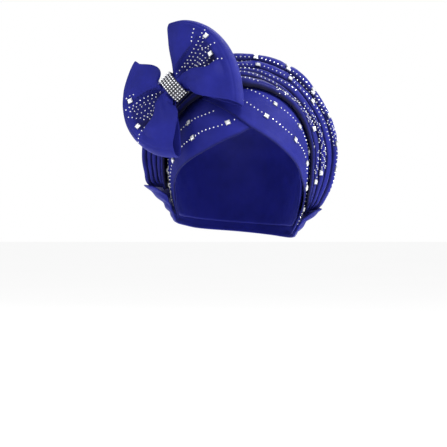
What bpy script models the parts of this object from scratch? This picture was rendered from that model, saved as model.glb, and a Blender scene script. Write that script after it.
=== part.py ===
"""A pre-tied pleated head wrap: a cap, two bands crossed on the forehead, a pleated roll that frames them,
a band round the nape, and a bow whose knot is wrapped in cut stones. Metres, +Z up, front towards -Y.
The origin is the inside of the crown, where the wrap sits on a head."""

import math

import bmesh
import bpy
from mathutils import Matrix, Vector
from mathutils.bvhtree import BVHTree

# Head hollow
HEAD_WIDTH = 0.141
HEAD_LENGTH = 0.182
CROWN_RISE = 0.085
NAPE_FALL = 0.118
RIM_DROP = 0.150

# Cloth walls and the gap between two layers
CAP_WALL = 0.0015
BAND_WALL = 0.0015
NAPE_WALL = 0.0016
HALO_WALL = 0.0022
LOOP_WALL = 0.0018
LAYER_GAP = 0.0006

# Pleated roll
HALO_RISE = 0.0300
PLEAT_HEIGHT = 0.0062
NAPE_FLARE = 0.024

# Bow
LOOP_REACH = 0.072
LOOP_DEPTH = 0.024
LOOP_FOLD_HEIGHT = 0.0065
PINCH_WIDTH = 0.025
PINCH_DEPTH = 0.012
BOW_TILT = Vector((-0.45, -0.85, 0.27))
BOW_SLOPE = 43.0
# Middle of the knot: shares of half the head width, half the head length and the rim drop
BOW_PLACE = (-0.882, -0.53, -0.096)
BOW_GAP = 0.0006

# Knot band and its stones
KNOT_LENGTH = 0.015
KNOT_WALL = 0.0014
KNOT_CLEARANCE = 0.0012
STONE_PITCH = 0.0030
STONE_HEIGHT = 0.0012
# How far in front of the band's middle the stones start, as a share of PINCH_DEPTH
STONES_FROM = 0.1
# Each stone: inset share and height share of its girdle row and of its table
STONE_FACETS = ((0.12, 0.55), (0.45, 1.0))
# The ring of the knot band: power of its rounded outline, and its front clearance against its side one
KNOT_POWER = 2.6
KNOT_FRONT_CLEARANCE = 1.6

# Square studs
STUD_SIDE = 0.0046
STUD_HEIGHT = 0.0019
STUD_GAP = 0.0003

CAP_LIFT = CAP_WALL
UNDER_LIFT = CAP_LIFT + LAYER_GAP
OVER_LIFT = UNDER_LIFT + BAND_WALL + LAYER_GAP
WRAP_LIFT = OVER_LIFT + BAND_WALL + LAYER_GAP

BLUE = (0.028, 0.032, 0.26, 1.0)
SILVER = (0.82, 0.83, 0.86, 1.0)

# Steps of the grids round and down the cap, along and across the other bands
CAP_COLUMNS = 44
CAP_RINGS = 7
BAND_STEPS = 24
BAND_COLUMNS = 6
NAPE_STEPS = 26
NAPE_COLUMNS = 5

# Lower edge of the cap: azimuth from the front in degrees, drop as a share of RIM_DROP
CAP_RIM = (
    (-180, 1.00),
    (-120, 0.96),
    (-90, 0.93),
    (-75, 0.86),
    (-66, 0.70),
    (-55, 0.57),
    (-35, 0.47),
    (0, 0.29),
    (12, 0.30),
    (35, 0.45),
    (55, 0.57),
    (66, 0.70),
    (75, 0.84),
    (90, 1.00),
    (120, 1.02),
    (180, 1.00),
)

# Sections of each forehead band, from its lower end: azimuth and drop share of the face edge,
# azimuth and drop share of the edge under the roll
UNDER_BAND = (
    (-72, 0.955, -98, 0.815),
    (-70.5, 0.857, -97, 0.745),
    (-67.5, 0.770, -95, 0.655),
    (-62.8, 0.705, -91, 0.550),
    (-53, 0.638, -85, 0.430),
    (-40, 0.578, -76, 0.310),
    (-25.6, 0.523, -62, 0.200),
    (-13, 0.471, -46, 0.120),
    (1.6, 0.419, -20, 0.070),
    (14, 0.368, 14, 0.060),
    (30, 0.310, 34, 0.070),
    (46, 0.250, 50, 0.090),
)
OVER_BAND = (
    (66, 1.065, 90, 0.940),
    (71, 0.975, 96, 0.860),
    (74.5, 0.870, 98, 0.765),
    (69.5, 0.775, 96, 0.660),
    (60.4, 0.695, 91, 0.550),
    (53.2, 0.627, 85, 0.430),
    (43.4, 0.561, 76, 0.310),
    (31, 0.489, 64, 0.200),
    (19.2, 0.428, 48, 0.115),
    (10.6, 0.387, 30, 0.070),
    (0.4, 0.328, 8, 0.045),
    (-11.7, 0.272, -16, 0.045),
    (-23.2, 0.230, -34, 0.060),
    (-41, 0.186, -50, 0.085),
)

# Sections of the roll: angle in the front view, depth shares of half the head length at the front foot,
# the crest and the rear foot, rise share of HALO_RISE
HALO = (
    (-38, -0.15, 0.02, 0.26, 0.05),
    (-35.5, -0.20, 0.03, 0.30, 0.36),
    (-30, -0.27, 0.04, 0.35, 0.66),
    (-22, -0.31, 0.05, 0.42, 0.82),
    (-12, -0.32, 0.07, 0.48, 0.97),
    (5, -0.33, 0.08, 0.52, 1.07),
    (25, -0.37, 0.08, 0.57, 1.08),
    (45, -0.49, 0.07, 0.66, 0.97),
    (65, -0.62, 0.05, 0.76, 0.89),
    (90, -0.70, 0.05, 0.82, 0.72),
    (115, -0.65, 0.05, 0.78, 0.77),
    (140, -0.51, 0.05, 0.68, 0.80),
    (160, -0.33, 0.06, 0.58, 0.88),
    (176, -0.27, 0.07, 0.50, 0.92),
    (187, -0.26, 0.05, 0.42, 0.86),
    (196, -0.25, 0.03, 0.35, 0.72),
    (201.5, -0.22, 0.00, 0.25, 0.05),
)
HALO_STATIONS = 30
# Share of the stations' spacing that is closer at the two ends
HALO_END_EASE = 0.4
# How far the front foot stands off the bands, in layer gaps, and the rise share at which pleats are full
FOOT_GAPS = 1.6
FULL_PLEAT_RISE = 0.6

# Pleats of the roll from front to rear: width share, height share. Half of the width is before the crest.
PLEATS = (
    (0.95, 0.75),
    (0.90, 0.80),
    (0.90, 0.85),
    (0.95, 0.80),
    (1.30, 1.30),
    (0.75, 1.00),
    (0.80, 0.90),
    (0.85, 0.80),
    (0.85, 0.70),
    (0.85, 0.60),
    (0.90, 0.50),
)
# Points of one pleat: place across it, height share
PLEAT_FORM = ((0.0, 0.0), (0.25, 0.85), (0.70, 0.95))
# Powers of the roll's profile before and behind its crest
FRONT_CURVE = 2.0
REAR_CURVE = 2.4
FULL_SPAN = max(row[3] - row[1] for row in HALO)

# Nape band from the left end round the back to the right: azimuth, drop shares of its upper and lower
# edges, flare share, and how far it stands off for the layers below (1 over the bands, 0 on the cap)
NAPE_CURVE = 2.4
NAPE_BAND = (
    (-74.0, 0.800, 0.962, 0.10, 1.0),
    (-78.0, 0.750, 0.963, 0.50, 1.0),
    (-84.0, 0.732, 0.966, 0.86, 1.0),
    (-93.0, 0.730, 0.970, 0.95, 1.0),
    (-106.0, 0.725, 0.985, 0.76, 1.0),
    (-118.0, 0.720, 1.000, 0.34, 0.8),
    (-135.0, 0.730, 1.025, 0.07, 0.4),
    (-180.0, 0.715, 1.055, 0.02, 0.0),
    (-222.0, 0.760, 1.075, 0.07, 0.4),
    (-240.0, 0.815, 1.080, 0.24, 0.8),
    (-254.0, 0.865, 1.080, 0.54, 1.0),
    (-265.0, 0.885, 1.075, 0.74, 1.0),
    (-274.0, 0.890, 1.073, 0.70, 1.0),
    (-281.0, 0.910, 1.070, 0.46, 1.0),
    (-286.0, 0.960, 1.068, 0.12, 1.0),
)

# Each loop of the bow across its width: place from one side to the other, angle from the bow's long
# axis, reach share, how far the side bows out as a share of the reach
UPPER_LOOP = (
    (-1.0, -59.5, 1.17, -0.05),
    (-0.7, -42.0, 1.06, -0.02),
    (-0.35, -20.0, 0.99, 0.0),
    (0.0, 1.0, 0.975, 0.0),
    (0.35, 22.0, 0.99, 0.0),
    (0.7, 42.0, 1.01, 0.0),
    (1.0, 58.0, 1.00, 0.0),
)
LOWER_LOOP = (
    (-1.0, -57.0, 1.06, -0.09),
    (-0.7, -40.0, 1.02, -0.03),
    (-0.35, -19.0, 0.95, 0.0),
    (0.0, 3.0, 0.89, 0.0),
    (0.35, 27.0, 0.83, 0.02),
    (0.7, 54.0, 0.80, 0.07),
    (1.0, 75.5, 0.815, 0.15),
)
# Folds that run out from the knot: place across the loop, height share
UPPER_FOLDS = (
    (-1.0, 0.1),
    (-0.75, 0.8),
    (-0.45, 0.7),
    (-0.22, -0.6),
    (0.10, -1.0),
    (0.30, -0.2),
    (0.55, 0.7),
    (0.80, 0.6),
    (1.0, 0.0),
)
LOWER_FOLDS = (
    (-1.0, 0.0),
    (-0.75, 0.7),
    (-0.50, 0.8),
    (-0.25, -0.5),
    (0.05, -1.0),
    (0.28, -0.2),
    (0.55, 0.7),
    (0.80, 0.6),
    (1.0, 0.0),
)
LOOP_COLUMNS = 10
LAYER_STEPS = 8
FOLD_STEPS = 4
# Share of a layer's way out that lies inside the knot
ENTRY_SHARE = 0.16
# How much thinner a loop is at its two sides, at the pinch and where it is open
PINCH_THINNING = 0.5
OPEN_THINNING = 0.2
# Height of the folds on the back layer, as a share of those on the front
BACK_FOLD_SHARE = 0.3
# A side that bows out does so late, clear of the knot: power of the share of the way out
BOW_OUT_FROM = 0.12
BOW_OUT_POWER = 0.6

# Square studs: carrier, place along it, place across it. Along the roll is the angle in the front view,
# and across it is the pleat's number from the front and the place within it. On a loop, along is the
# place from the outer fold (0) to the knot (-1) over its front.
STUDS = (
    ("over", 0.609, 0.61),
    ("over", 0.636, 0.29),
    ("over", 0.483, 0.67),
    ("over", 0.483, 0.33),
    ("over", 0.371, 0.62),
    ("over", 0.344, 0.34),
    ("over", 0.265, 0.52),
    ("over", 0.238, 0.11),
    ("over", 0.119, 0.20),
    ("under", 0.536, 0.57),
    ("under", 0.523, 0.29),
    ("under", 0.696, 0.21),
    ("under", 0.351, 0.29),
    ("under", 0.250, 0.62),
    ("under", 0.170, 0.42),
    ("halo", 80, 4.35),
    ("halo", 62, 4.35),
    ("halo", 43, 4.35),
    ("halo", 80, 4.10),
    ("halo", 61, 4.10),
    ("halo", 42, 4.08),
    ("halo", 78, 3.35),
    ("halo", 57, 3.35),
    ("halo", 38, 3.40),
    ("halo", 26, 4.30),
    ("halo", 22, 1.60),
    ("halo", 9.5, 4.45),
    ("halo", -5, 4.50),
    ("halo", -9, 2.20),
    ("halo", -16, 1.30),
    ("upper", -0.176, 0.15),
    ("upper", -0.275, -0.18),
    ("lower", -0.237, 0.28),
    ("lower", -0.221, -0.26),
)


def blended(rows, at):
    """The row of a table at a value of its first column, on a smooth curve through the rows."""
    keys = [row[0] for row in rows]
    last = len(rows) - 1
    step = 1 if keys[-1] > keys[0] else -1
    index = 0
    while index < last - 1 and (at - keys[index + 1]) * step > 0:
        index += 1
    span = keys[index + 1] - keys[index]
    share = min(max((at - keys[index]) / span, 0.0), 1.0)
    return [
        hermite(rows, index, last, column, span, share)
        for column in range(1, len(rows[0]))
    ]


def hermite(rows, index, last, column, span, share):
    def slope(i):
        low, high = max(i - 1, 0), min(i + 1, last)
        return (rows[high][column] - rows[low][column]) / (rows[high][0] - rows[low][0])

    start, end = rows[index][column], rows[index + 1][column]
    rise = 3 * share**2 - 2 * share**3
    leave = share**3 - 2 * share**2 + share
    arrive = share**3 - share**2
    return start + (end - start) * rise + span * (slope(index) * leave + slope(index + 1) * arrive)


def numbered(rows):
    """The rows of a table with their place from 0 to 1 put in front."""
    return [(i / (len(rows) - 1),) + tuple(row) for i, row in enumerate(rows)]


def mixed(start, end, share):
    return start + (end - start) * share


def form_point(azimuth, polar, lift):
    """A point on the head form, lifted off it: azimuth from the front, polar angle from the crown."""
    around, down = math.radians(azimuth), math.radians(polar)
    height = CROWN_RISE if polar <= 90 else NAPE_FALL
    return Vector((
        (HEAD_WIDTH / 2 + lift) * math.sin(down) * math.sin(around),
        -(HEAD_LENGTH / 2 + lift) * math.sin(down) * math.cos(around),
        (height + lift) * math.cos(down) - CROWN_RISE,
    ))


def form_polar(drop_share):
    """The polar angle of a level given as a share of RIM_DROP below the crown."""
    above = CROWN_RISE - drop_share * RIM_DROP
    height = CROWN_RISE if above > 0 else NAPE_FALL
    return math.degrees(math.acos(above / height))


def form_radius(angle, depth, lift):
    """How far the lifted head form reaches from the middle of its widest level, in the front view."""
    across = math.cos(math.radians(angle)) / (HEAD_WIDTH / 2 + lift)
    height = CROWN_RISE if math.sin(math.radians(angle)) > 0 else NAPE_FALL
    upward = math.sin(math.radians(angle)) / (height + lift)
    slice_share = math.sqrt(1 - (depth / (HEAD_LENGTH / 2 + lift)) ** 2)
    return slice_share / math.hypot(across, upward)


def grid_normals(grid):
    """The unit normal at each point of a grid, from its neighbours."""
    rows, columns = len(grid), len(grid[0])
    normals = []
    for i in range(rows):
        line = []
        for j in range(columns):
            along = grid[min(i + 1, rows - 1)][j] - grid[max(i - 1, 0)][j]
            across = grid[i][min(j + 1, columns - 1)] - grid[i][max(j - 1, 0)]
            line.append(along.cross(across).normalized())
        normals.append(line)
    return normals


def shifted(grid, distance):
    """The grid moved along its normals."""
    normals = grid_normals(grid)
    return [[p + n * distance for p, n in zip(*pair)] for pair in zip(grid, normals)]


def wall_mesh(outer, inner):
    """One closed body between two grids of points, with both grids cut along the same diagonals."""
    rows, columns = len(outer), len(outer[0])
    mesh = bmesh.new()
    skins = [[[mesh.verts.new(point) for point in row] for row in grid] for grid in (outer, inner)]
    for skin in skins:
        for i in range(rows - 1):
            for j in range(columns - 1):
                a, b = skin[i][j], skin[i + 1][j]
                c, d = skin[i + 1][j + 1], skin[i][j + 1]
                mesh.faces.new((a, b, c))
                mesh.faces.new((a, c, d))
    rim = [(0, j) for j in range(columns)]
    rim += [(i, columns - 1) for i in range(1, rows)]
    rim += [(rows - 1, j) for j in range(columns - 2, -1, -1)]
    rim += [(i, 0) for i in range(rows - 2, 0, -1)]
    for (i, j), (m, n) in zip(rim, rim[1:] + rim[:1]):
        mesh.faces.new((skins[0][i][j], skins[0][m][n], skins[1][m][n]))
        mesh.faces.new((skins[0][i][j], skins[1][m][n], skins[1][i][j]))
    bmesh.ops.recalc_face_normals(mesh, faces=mesh.faces)
    return mesh


def material(name, colour, roughness, metallic):
    made = bpy.data.materials.new(name)
    made.use_nodes = True
    shader = made.node_tree.nodes["Principled BSDF"]
    shader.inputs["Base Color"].default_value = colour
    shader.inputs["Roughness"].default_value = roughness
    shader.inputs["Metallic"].default_value = metallic
    return made


def placed(name, mesh, finish, smooth=True):
    """The bmesh as a named object in the scene."""
    data = bpy.data.meshes.new(name)
    mesh.to_mesh(data)
    mesh.free()
    data.materials.append(finish)
    if smooth:
        data.shade_smooth()
        data.set_sharp_from_angle(angle=math.radians(50))
    made = bpy.data.objects.new(name, data)
    bpy.context.scene.collection.objects.link(made)
    return made


def surface_of(*objects):
    """One search tree over the faces of the objects, which have no transform."""
    points, faces = [], []
    for made in objects:
        start = len(points)
        points += [vertex.co.copy() for vertex in made.data.vertices]
        faces += [[start + i for i in face.vertices] for face in made.data.polygons]
    return BVHTree.FromPolygons(points, faces)


def cap(finish):
    """The plain cap, a dome open below, whose lower edge stays behind the bands."""
    columns, rings = CAP_COLUMNS, CAP_RINGS
    mesh = bmesh.new()
    skins = []
    for lift in (CAP_WALL, 0.0):
        pole = mesh.verts.new(form_point(0, 0, lift))
        rows = []
        for ring in range(1, rings + 1):
            row = []
            for column in range(columns):
                azimuth = 360 * column / columns - 180
                polar = form_polar(blended(CAP_RIM, azimuth)[0]) * ring / rings
                row.append(mesh.verts.new(form_point(azimuth, polar, lift)))
            rows.append(row)
        skins.append(rows)
        for j in range(columns):
            k = (j + 1) % columns
            mesh.faces.new((pole, rows[0][j], rows[0][k]))
            for upper, lower in zip(rows, rows[1:]):
                mesh.faces.new((upper[j], lower[j], lower[k]))
                mesh.faces.new((upper[j], lower[k], upper[k]))
    outer, inner = skins[0][-1], skins[1][-1]
    for j in range(columns):
        k = (j + 1) % columns
        mesh.faces.new((outer[j], outer[k], inner[k]))
        mesh.faces.new((outer[j], inner[k], inner[j]))
    bmesh.ops.recalc_face_normals(mesh, faces=mesh.faces)
    return placed("cap", mesh, finish)


def band_point(rows, along, across, lift):
    """A point of a forehead band, across from its face edge to the edge under the roll."""
    face_azimuth, face_drop, roll_azimuth, roll_drop = blended(numbered(rows), along)
    azimuth = mixed(face_azimuth, roll_azimuth, across)
    polar = mixed(form_polar(face_drop), form_polar(roll_drop), across)
    return form_point(azimuth, polar, lift)


def forehead_band(name, rows, lift, finish):
    steps, columns = BAND_STEPS, BAND_COLUMNS
    skins = [
        [
            [band_point(rows, i / steps, j / columns, height) for j in range(columns + 1)]
            for i in range(steps + 1)
        ]
        for height in (lift + BAND_WALL, lift)
    ]
    return placed(name, wall_mesh(*skins), finish)


def pleat_places():
    """Place across the roll and bump share of each point of each pleat, and the closing point."""
    total = sum(width for width, height in PLEATS)
    start, places = 0.0, []
    for width, height in PLEATS:
        for offset, share in PLEAT_FORM:
            places.append(((start + width * offset) / total, height * share))
        start += width
    places.append((1.0, 0.0))
    return places


def halo_base(angle, across):
    """The smooth roll under the pleats, as reach and depth at an angle of the front view."""
    front, crest, rear, rise = blended(HALO, angle)
    depths = [share * HEAD_LENGTH / 2 for share in (front, crest, rear)]
    front_lift = WRAP_LIFT + HALO_WALL + FOOT_GAPS * LAYER_GAP
    rear_lift = CAP_LIFT + HALO_WALL + LAYER_GAP
    crest_reach = form_radius(angle, depths[1], 0.0) + rise * HALO_RISE
    if across < 0.5:
        share = 2 * across
        depth = mixed(depths[0], depths[1], share)
        foot_reach = form_radius(angle, depths[0], front_lift)
        rising = math.sin(math.pi / 2 * share) ** FRONT_CURVE
        reach = mixed(foot_reach, crest_reach, rising)
        return max(reach, form_radius(angle, depth, front_lift)), depth
    share = 2 * across - 1
    depth = mixed(depths[1], depths[2], share)
    foot_reach = form_radius(angle, depths[2], rear_lift)
    lift = mixed(front_lift, rear_lift, share)
    reach = mixed(crest_reach, foot_reach, share**REAR_CURVE)
    return max(reach, form_radius(angle, depth, lift)), depth


def halo_point(angle, across, bump, lift):
    """A point of the roll: its pleats stand off the smooth roll, and shrink where it narrows."""
    step = 0.01
    reach, depth = halo_base(angle, across)
    before = halo_base(angle, max(across - step, 0.0))
    after = halo_base(angle, min(across + step, 1.0))
    out, back = after[1] - before[1], before[0] - after[0]
    length = math.hypot(out, back)
    front, _, rear, rise = blended(HALO, angle)
    size = (rear - front) / FULL_SPAN * min(max(rise, 0.0) / FULL_PLEAT_RISE, 1.0)
    height = bump * size * PLEAT_HEIGHT + lift
    reach += out / length * height
    depth += back / length * height
    turn = math.radians(angle)
    return Vector((reach * math.cos(turn), depth, reach * math.sin(turn) - CROWN_RISE))


def pleated_halo(finish):
    first, last = HALO[0][0], HALO[-1][0]
    angles = []
    for i in range(HALO_STATIONS + 1):
        even = i / HALO_STATIONS
        eased = (1 - math.cos(math.pi * even)) / 2
        angles.append(mixed(first, last, mixed(even, eased, HALO_END_EASE)))
    skins = [
        [[halo_point(angle, across, bump, lift) for across, bump in pleat_places()] for angle in angles]
        for lift in (0.0, -HALO_WALL)
    ]
    return placed("pleated_halo", wall_mesh(*skins), finish)


def nape_point(azimuth, rise):
    """A point on the inner face of the nape band, which flares out towards its upper edge."""
    upper, lower, flare, seat = blended(NAPE_BAND, azimuth)
    polar = mixed(form_polar(lower), form_polar(upper), rise)
    lift = mixed(CAP_LIFT + LAYER_GAP, WRAP_LIFT, min(max(seat, 0.0), 1.0))
    point = form_point(azimuth, polar, lift)
    outward = Vector((math.sin(math.radians(azimuth)), -math.cos(math.radians(azimuth)), 0.0))
    return point + outward * NAPE_FLARE * flare * rise**NAPE_CURVE


def nape_band(finish):
    steps, columns = NAPE_STEPS, NAPE_COLUMNS
    first, last = NAPE_BAND[0][0], NAPE_BAND[-1][0]
    inner = [
        [nape_point(mixed(first, last, i / steps), j / columns) for j in range(columns + 1)]
        for i in range(steps + 1)
    ]
    outer = shifted(inner, -NAPE_WALL)
    return placed("nape_band", wall_mesh(outer, inner), finish)


def bow_frame():
    """The bow's axes as columns: along its length, across it, and out of its front."""
    front = BOW_TILT.normalized()
    slope = math.radians(BOW_SLOPE)
    along = Vector((math.cos(slope), 0.0, math.sin(slope)))
    along.y = -along.dot(front) / front.y
    along.normalize()
    return Matrix((along, front.cross(along), front)).transposed()


def loop_layer(loop, folds, across, out, front):
    """One layer of a loop at a share of its way out: place along and across the bow, half depth, fold.
    Only the front layer's sides bow out, past the knot band."""
    angle, reach_share, bulge = blended(loop, across)
    reach = reach_share * LOOP_REACH - LOOP_DEPTH / 2
    turn = math.radians(angle)
    start = Vector((KNOT_LENGTH / 2 + KNOT_CLEARANCE, across * PINCH_WIDTH / 2))
    end = Vector((reach * math.cos(turn), reach * math.sin(turn)))
    pinch_half = PINCH_DEPTH / 2 * (1 - PINCH_THINNING * across**2)
    if out < ENTRY_SHARE:
        place = Vector((mixed(LAYER_GAP, start.x, out / ENTRY_SHARE), start.y))
        return place, pinch_half, 0.0
    share = (out - ENTRY_SHARE) / (1 - ENTRY_SHARE)
    chord = (end - start).normalized()
    side = Vector((-chord.y, chord.x))
    past_knot = max(0.0, (share - BOW_OUT_FROM) / (1 - BOW_OUT_FROM))
    bowed = bulge * LOOP_REACH * math.sin(math.pi * past_knot**BOW_OUT_POWER) * front
    place = start + (end - start) * share + side * bowed
    open_share = min(1.0, 1.5 * share)
    open_share = open_share**2 * (3 - 2 * open_share)
    open_half = LOOP_DEPTH / 2 * (1 - OPEN_THINNING * across**2)
    half = mixed(pinch_half, open_half, open_share)
    fold = blended(folds, across)[0] * LOOP_FOLD_HEIGHT * 2 * math.sqrt(share) * (1 - share)
    return place, half, fold


def loop_point(loop, folds, side, across, along):
    """A point on a loop's outer face: along runs from the knot over the front (-1), round the outer
    fold (0) and back behind (1). Side is 1 for the upper loop and -1 for the lower."""
    layer_share = 1 - FOLD_STEPS / (FOLD_STEPS + 2 * LAYER_STEPS)
    fold_share = 1 - layer_share
    facing = -1 if along < 0 else 1
    if abs(along) > fold_share:
        out = 1 - (abs(along) - fold_share) / layer_share
        place, half, fold = loop_layer(loop, folds, across, out, facing < 0)
        height = -facing * half + fold * (1.0 if facing < 0 else BACK_FOLD_SHARE)
    else:
        place, half, fold = loop_layer(loop, folds, across, 1.0, True)
        angle = math.radians(blended(loop, across)[0])
        turn = math.radians(90) * along / fold_share
        place = place + Vector((math.cos(angle), math.sin(angle))) * LOOP_DEPTH / 2 * math.cos(turn)
        height = -half * math.sin(turn)
    return Vector((side * place.x, place.y, height))


def loop_grid(loop, folds, side):
    steps = FOLD_STEPS + 2 * LAYER_STEPS
    return [
        [
            loop_point(loop, folds, side, 2 * j / LOOP_COLUMNS - 1, 2 * i / steps - 1)
            for j in range(LOOP_COLUMNS + 1)
        ]
        for i in range(steps + 1)
    ]


def bow_loop(name, loop, folds, side, finish):
    outer = loop_grid(loop, folds, side)
    inner = shifted(outer, -side * LOOP_WALL)
    return placed(name, wall_mesh(outer, inner), finish)


def knot_outline(clearance):
    """Points of the knot band's ring, evenly spaced, across the bow and out of it."""
    half_width = PINCH_WIDTH / 2 + clearance
    half_depth = PINCH_DEPTH / 2 + KNOT_FRONT_CLEARANCE * clearance
    power = 2 / KNOT_POWER
    fine = []
    for i in range(721):
        turn = math.radians(i / 2)
        c, s = math.cos(turn), math.sin(turn)
        fine.append(Vector((
            half_width * math.copysign(abs(c) ** power, c),
            half_depth * math.copysign(abs(s) ** power, s),
        )))
    lengths = [0.0]
    for start, end in zip(fine, fine[1:]):
        lengths.append(lengths[-1] + (end - start).length)
    return fine, lengths


def evenly(fine, lengths, count):
    points, index = [], 0
    for i in range(count):
        target = lengths[-1] * i / count
        while lengths[index + 1] < target:
            index += 1
        share = (target - lengths[index]) / (lengths[index + 1] - lengths[index])
        points.append(fine[index].lerp(fine[index + 1], share))
    return points


def cut_stone(mesh, corners, rise):
    """A square stone on four corners: a steep row of facets, a shallower row and a table."""
    middle = sum((corner.co for corner in corners), Vector()) / 4
    normal = (corners[1].co - corners[0].co).cross(corners[3].co - corners[0].co).normalized()
    girdle = list(corners)
    for inset, height in STONE_FACETS:
        ring = [
            mesh.verts.new(corner.co.lerp(middle, inset) + normal * height * rise)
            for corner in corners
        ]
        for i in range(4):
            k = (i + 1) % 4
            mesh.faces.new((girdle[i], girdle[k], ring[k], ring[i]))
        girdle = ring
    mesh.faces.new(girdle)


def knot_band(finish):
    """The band round the pinched middle, with rows of stones fused to its front half."""
    outline = knot_outline(KNOT_CLEARANCE + KNOT_WALL)
    rows = round(outline[1][-1] / STONE_PITCH)
    columns = round(KNOT_LENGTH / STONE_PITCH)
    outer = evenly(*outline, rows)
    inner = evenly(*knot_outline(KNOT_CLEARANCE), rows)
    mesh = bmesh.new()

    def ring_point(point, column):
        return mesh.verts.new((KNOT_LENGTH * (column / columns - 0.5), point.x, point.y))

    skin = [[ring_point(point, column) for column in range(columns + 1)] for point in outer]
    lining = [[ring_point(point, column) for column in (0, columns)] for point in inner]
    for i in range(rows):
        k = (i + 1) % rows
        for j in range(columns):
            corners = (skin[i][j], skin[i][j + 1], skin[k][j + 1], skin[k][j])
            if (outer[i].y + outer[k].y) / 2 > STONES_FROM * PINCH_DEPTH:
                cut_stone(mesh, corners[::-1], STONE_HEIGHT)
            else:
                mesh.faces.new(corners[::-1])
        mesh.faces.new((lining[i][0], lining[i][1], lining[k][1], lining[k][0]))
        mesh.faces.new([skin[k][0], skin[i][0], lining[i][0], lining[k][0]])
        mesh.faces.new([skin[i][columns], skin[k][columns], lining[k][1], lining[i][1]])
    bmesh.ops.triangulate(mesh, faces=mesh.faces)
    bmesh.ops.recalc_face_normals(mesh, faces=mesh.faces)
    return placed("bow_knot_band", mesh, finish, smooth=False)


def seat_bow(pieces, carriers):
    """Moves the bow's pieces to their place, then along the bow's front axis until they rest on what
    carries them. Returns the whole move."""
    frame = bow_frame()
    front = frame.col[2].copy()
    sizes = (HEAD_WIDTH / 2, HEAD_LENGTH / 2, RIM_DROP)
    centre = Vector([share * size for share, size in zip(BOW_PLACE, sizes)])
    placing = Matrix.Translation(centre) @ frame.to_4x4()
    for piece in pieces:
        piece.data.transform(placing)
    room = clear_way(pieces, surface_of(*carriers), -front) + clear_way(carriers, surface_of(*pieces), front)
    seating = Matrix.Translation(-front * (min(room) - BOW_GAP))
    for piece in pieces:
        piece.data.transform(seating)
    return seating @ placing


def clear_way(objects, surface, direction):
    """How far each point of the objects can go in a direction before it meets the surface. A point that
    starts inside the surface has a negative way."""
    start = 0.2
    ways = []
    for made in objects:
        for vertex in made.data.vertices:
            hit = surface.ray_cast(vertex.co - direction * start, direction)
            if hit[0] is not None:
                ways.append(hit[3] - start)
    return ways


def stud_mesh():
    """A square stone: a flat back, a steep row of facets, a shallower row and a table."""
    mesh = bmesh.new()
    half = STUD_SIDE / 2
    corners = [mesh.verts.new((x * half, y * half, 0)) for x, y in ((-1, -1), (1, -1), (1, 1), (-1, 1))]
    mesh.faces.new(corners[::-1])
    cut_stone(mesh, corners, STUD_HEIGHT)
    bmesh.ops.recalc_face_normals(mesh, faces=mesh.faces)
    return mesh


def surfaces(bow_place):
    """For each carrier of studs, its outer surface as a function of place along and across, and a
    function that gives a direction on the outer side of it."""
    outer_over, outer_under = OVER_LIFT + BAND_WALL, UNDER_LIFT + BAND_WALL
    middle = Vector((0, 0, -CROWN_RISE))
    bow_front = bow_frame().col[2]

    def from_middle(point):
        return point - middle

    def out_of_bow(point):
        return bow_front

    return {
        "over": (lambda a, b: band_point(OVER_BAND, a, b, outer_over), from_middle),
        "under": (lambda a, b: band_point(UNDER_BAND, a, b, outer_under), from_middle),
        "halo": (lambda a, b: halo_point(a, pleat_share(b), 1.0, 0.0), from_middle),
        "upper": (lambda a, b: bow_place @ loop_point(UPPER_LOOP, UPPER_FOLDS, 1, b, a), out_of_bow),
        "lower": (lambda a, b: bow_place @ loop_point(LOWER_LOOP, LOWER_FOLDS, -1, b, a), out_of_bow),
    }


def pleat_share(number):
    """The share of the way across the roll of a place given in pleats from the front."""
    whole = min(int(number), len(PLEATS) - 1)
    before = sum(width for width, height in PLEATS[:whole])
    return (before + (number - whole) * PLEATS[whole][0]) / sum(width for width, height in PLEATS)


def square_studs(carriers, bow_place, finish):
    """Each stud lies flat on its carrier, lifted clear of the highest point below its back."""
    shapes = surfaces(bow_place)
    trees = {name: surface_of(made) for name, made in carriers.items()}
    shared = None
    counts = {}
    for name, along, across in STUDS:
        point_at, side = shapes[name]
        step = 2.0 if name == "halo" else 0.02
        point = point_at(along, across)
        row = (point_at(along + step, across) - point_at(along - step, across)).normalized()
        other = point_at(along, across + 0.05) - point_at(along, across - 0.05)
        normal = row.cross(other).normalized()
        if normal.dot(side(point)) < 0:
            normal = -normal
        turned = Matrix((row, normal.cross(row), normal)).transposed()
        lift = highest(trees[name], point, turned)
        counts[name] = counts.get(name, 0) + 1
        label = f"stud_{name}_{counts[name]:02d}"
        if shared is None:
            made = placed(label, stud_mesh(), finish, smooth=False)
            shared = made.data
        else:
            made = bpy.data.objects.new(label, shared)
            bpy.context.scene.collection.objects.link(made)
        made.matrix_world = Matrix.Translation(point + normal * (lift + STUD_GAP)) @ turned.to_4x4()


def highest(tree, point, turned):
    """How far the carrier rises above the point within the stud's square."""
    start = 0.02
    normal = turned.col[2]
    heights = []
    for i in range(5):
        for j in range(5):
            aside = Vector((i / 2 - 1, j / 2 - 1, 0)) * STUD_SIDE / 2
            hit = tree.ray_cast(point + turned @ aside + normal * start, -normal)
            if hit[0] is not None:
                heights.append(start - hit[3])
    return max(heights)


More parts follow.
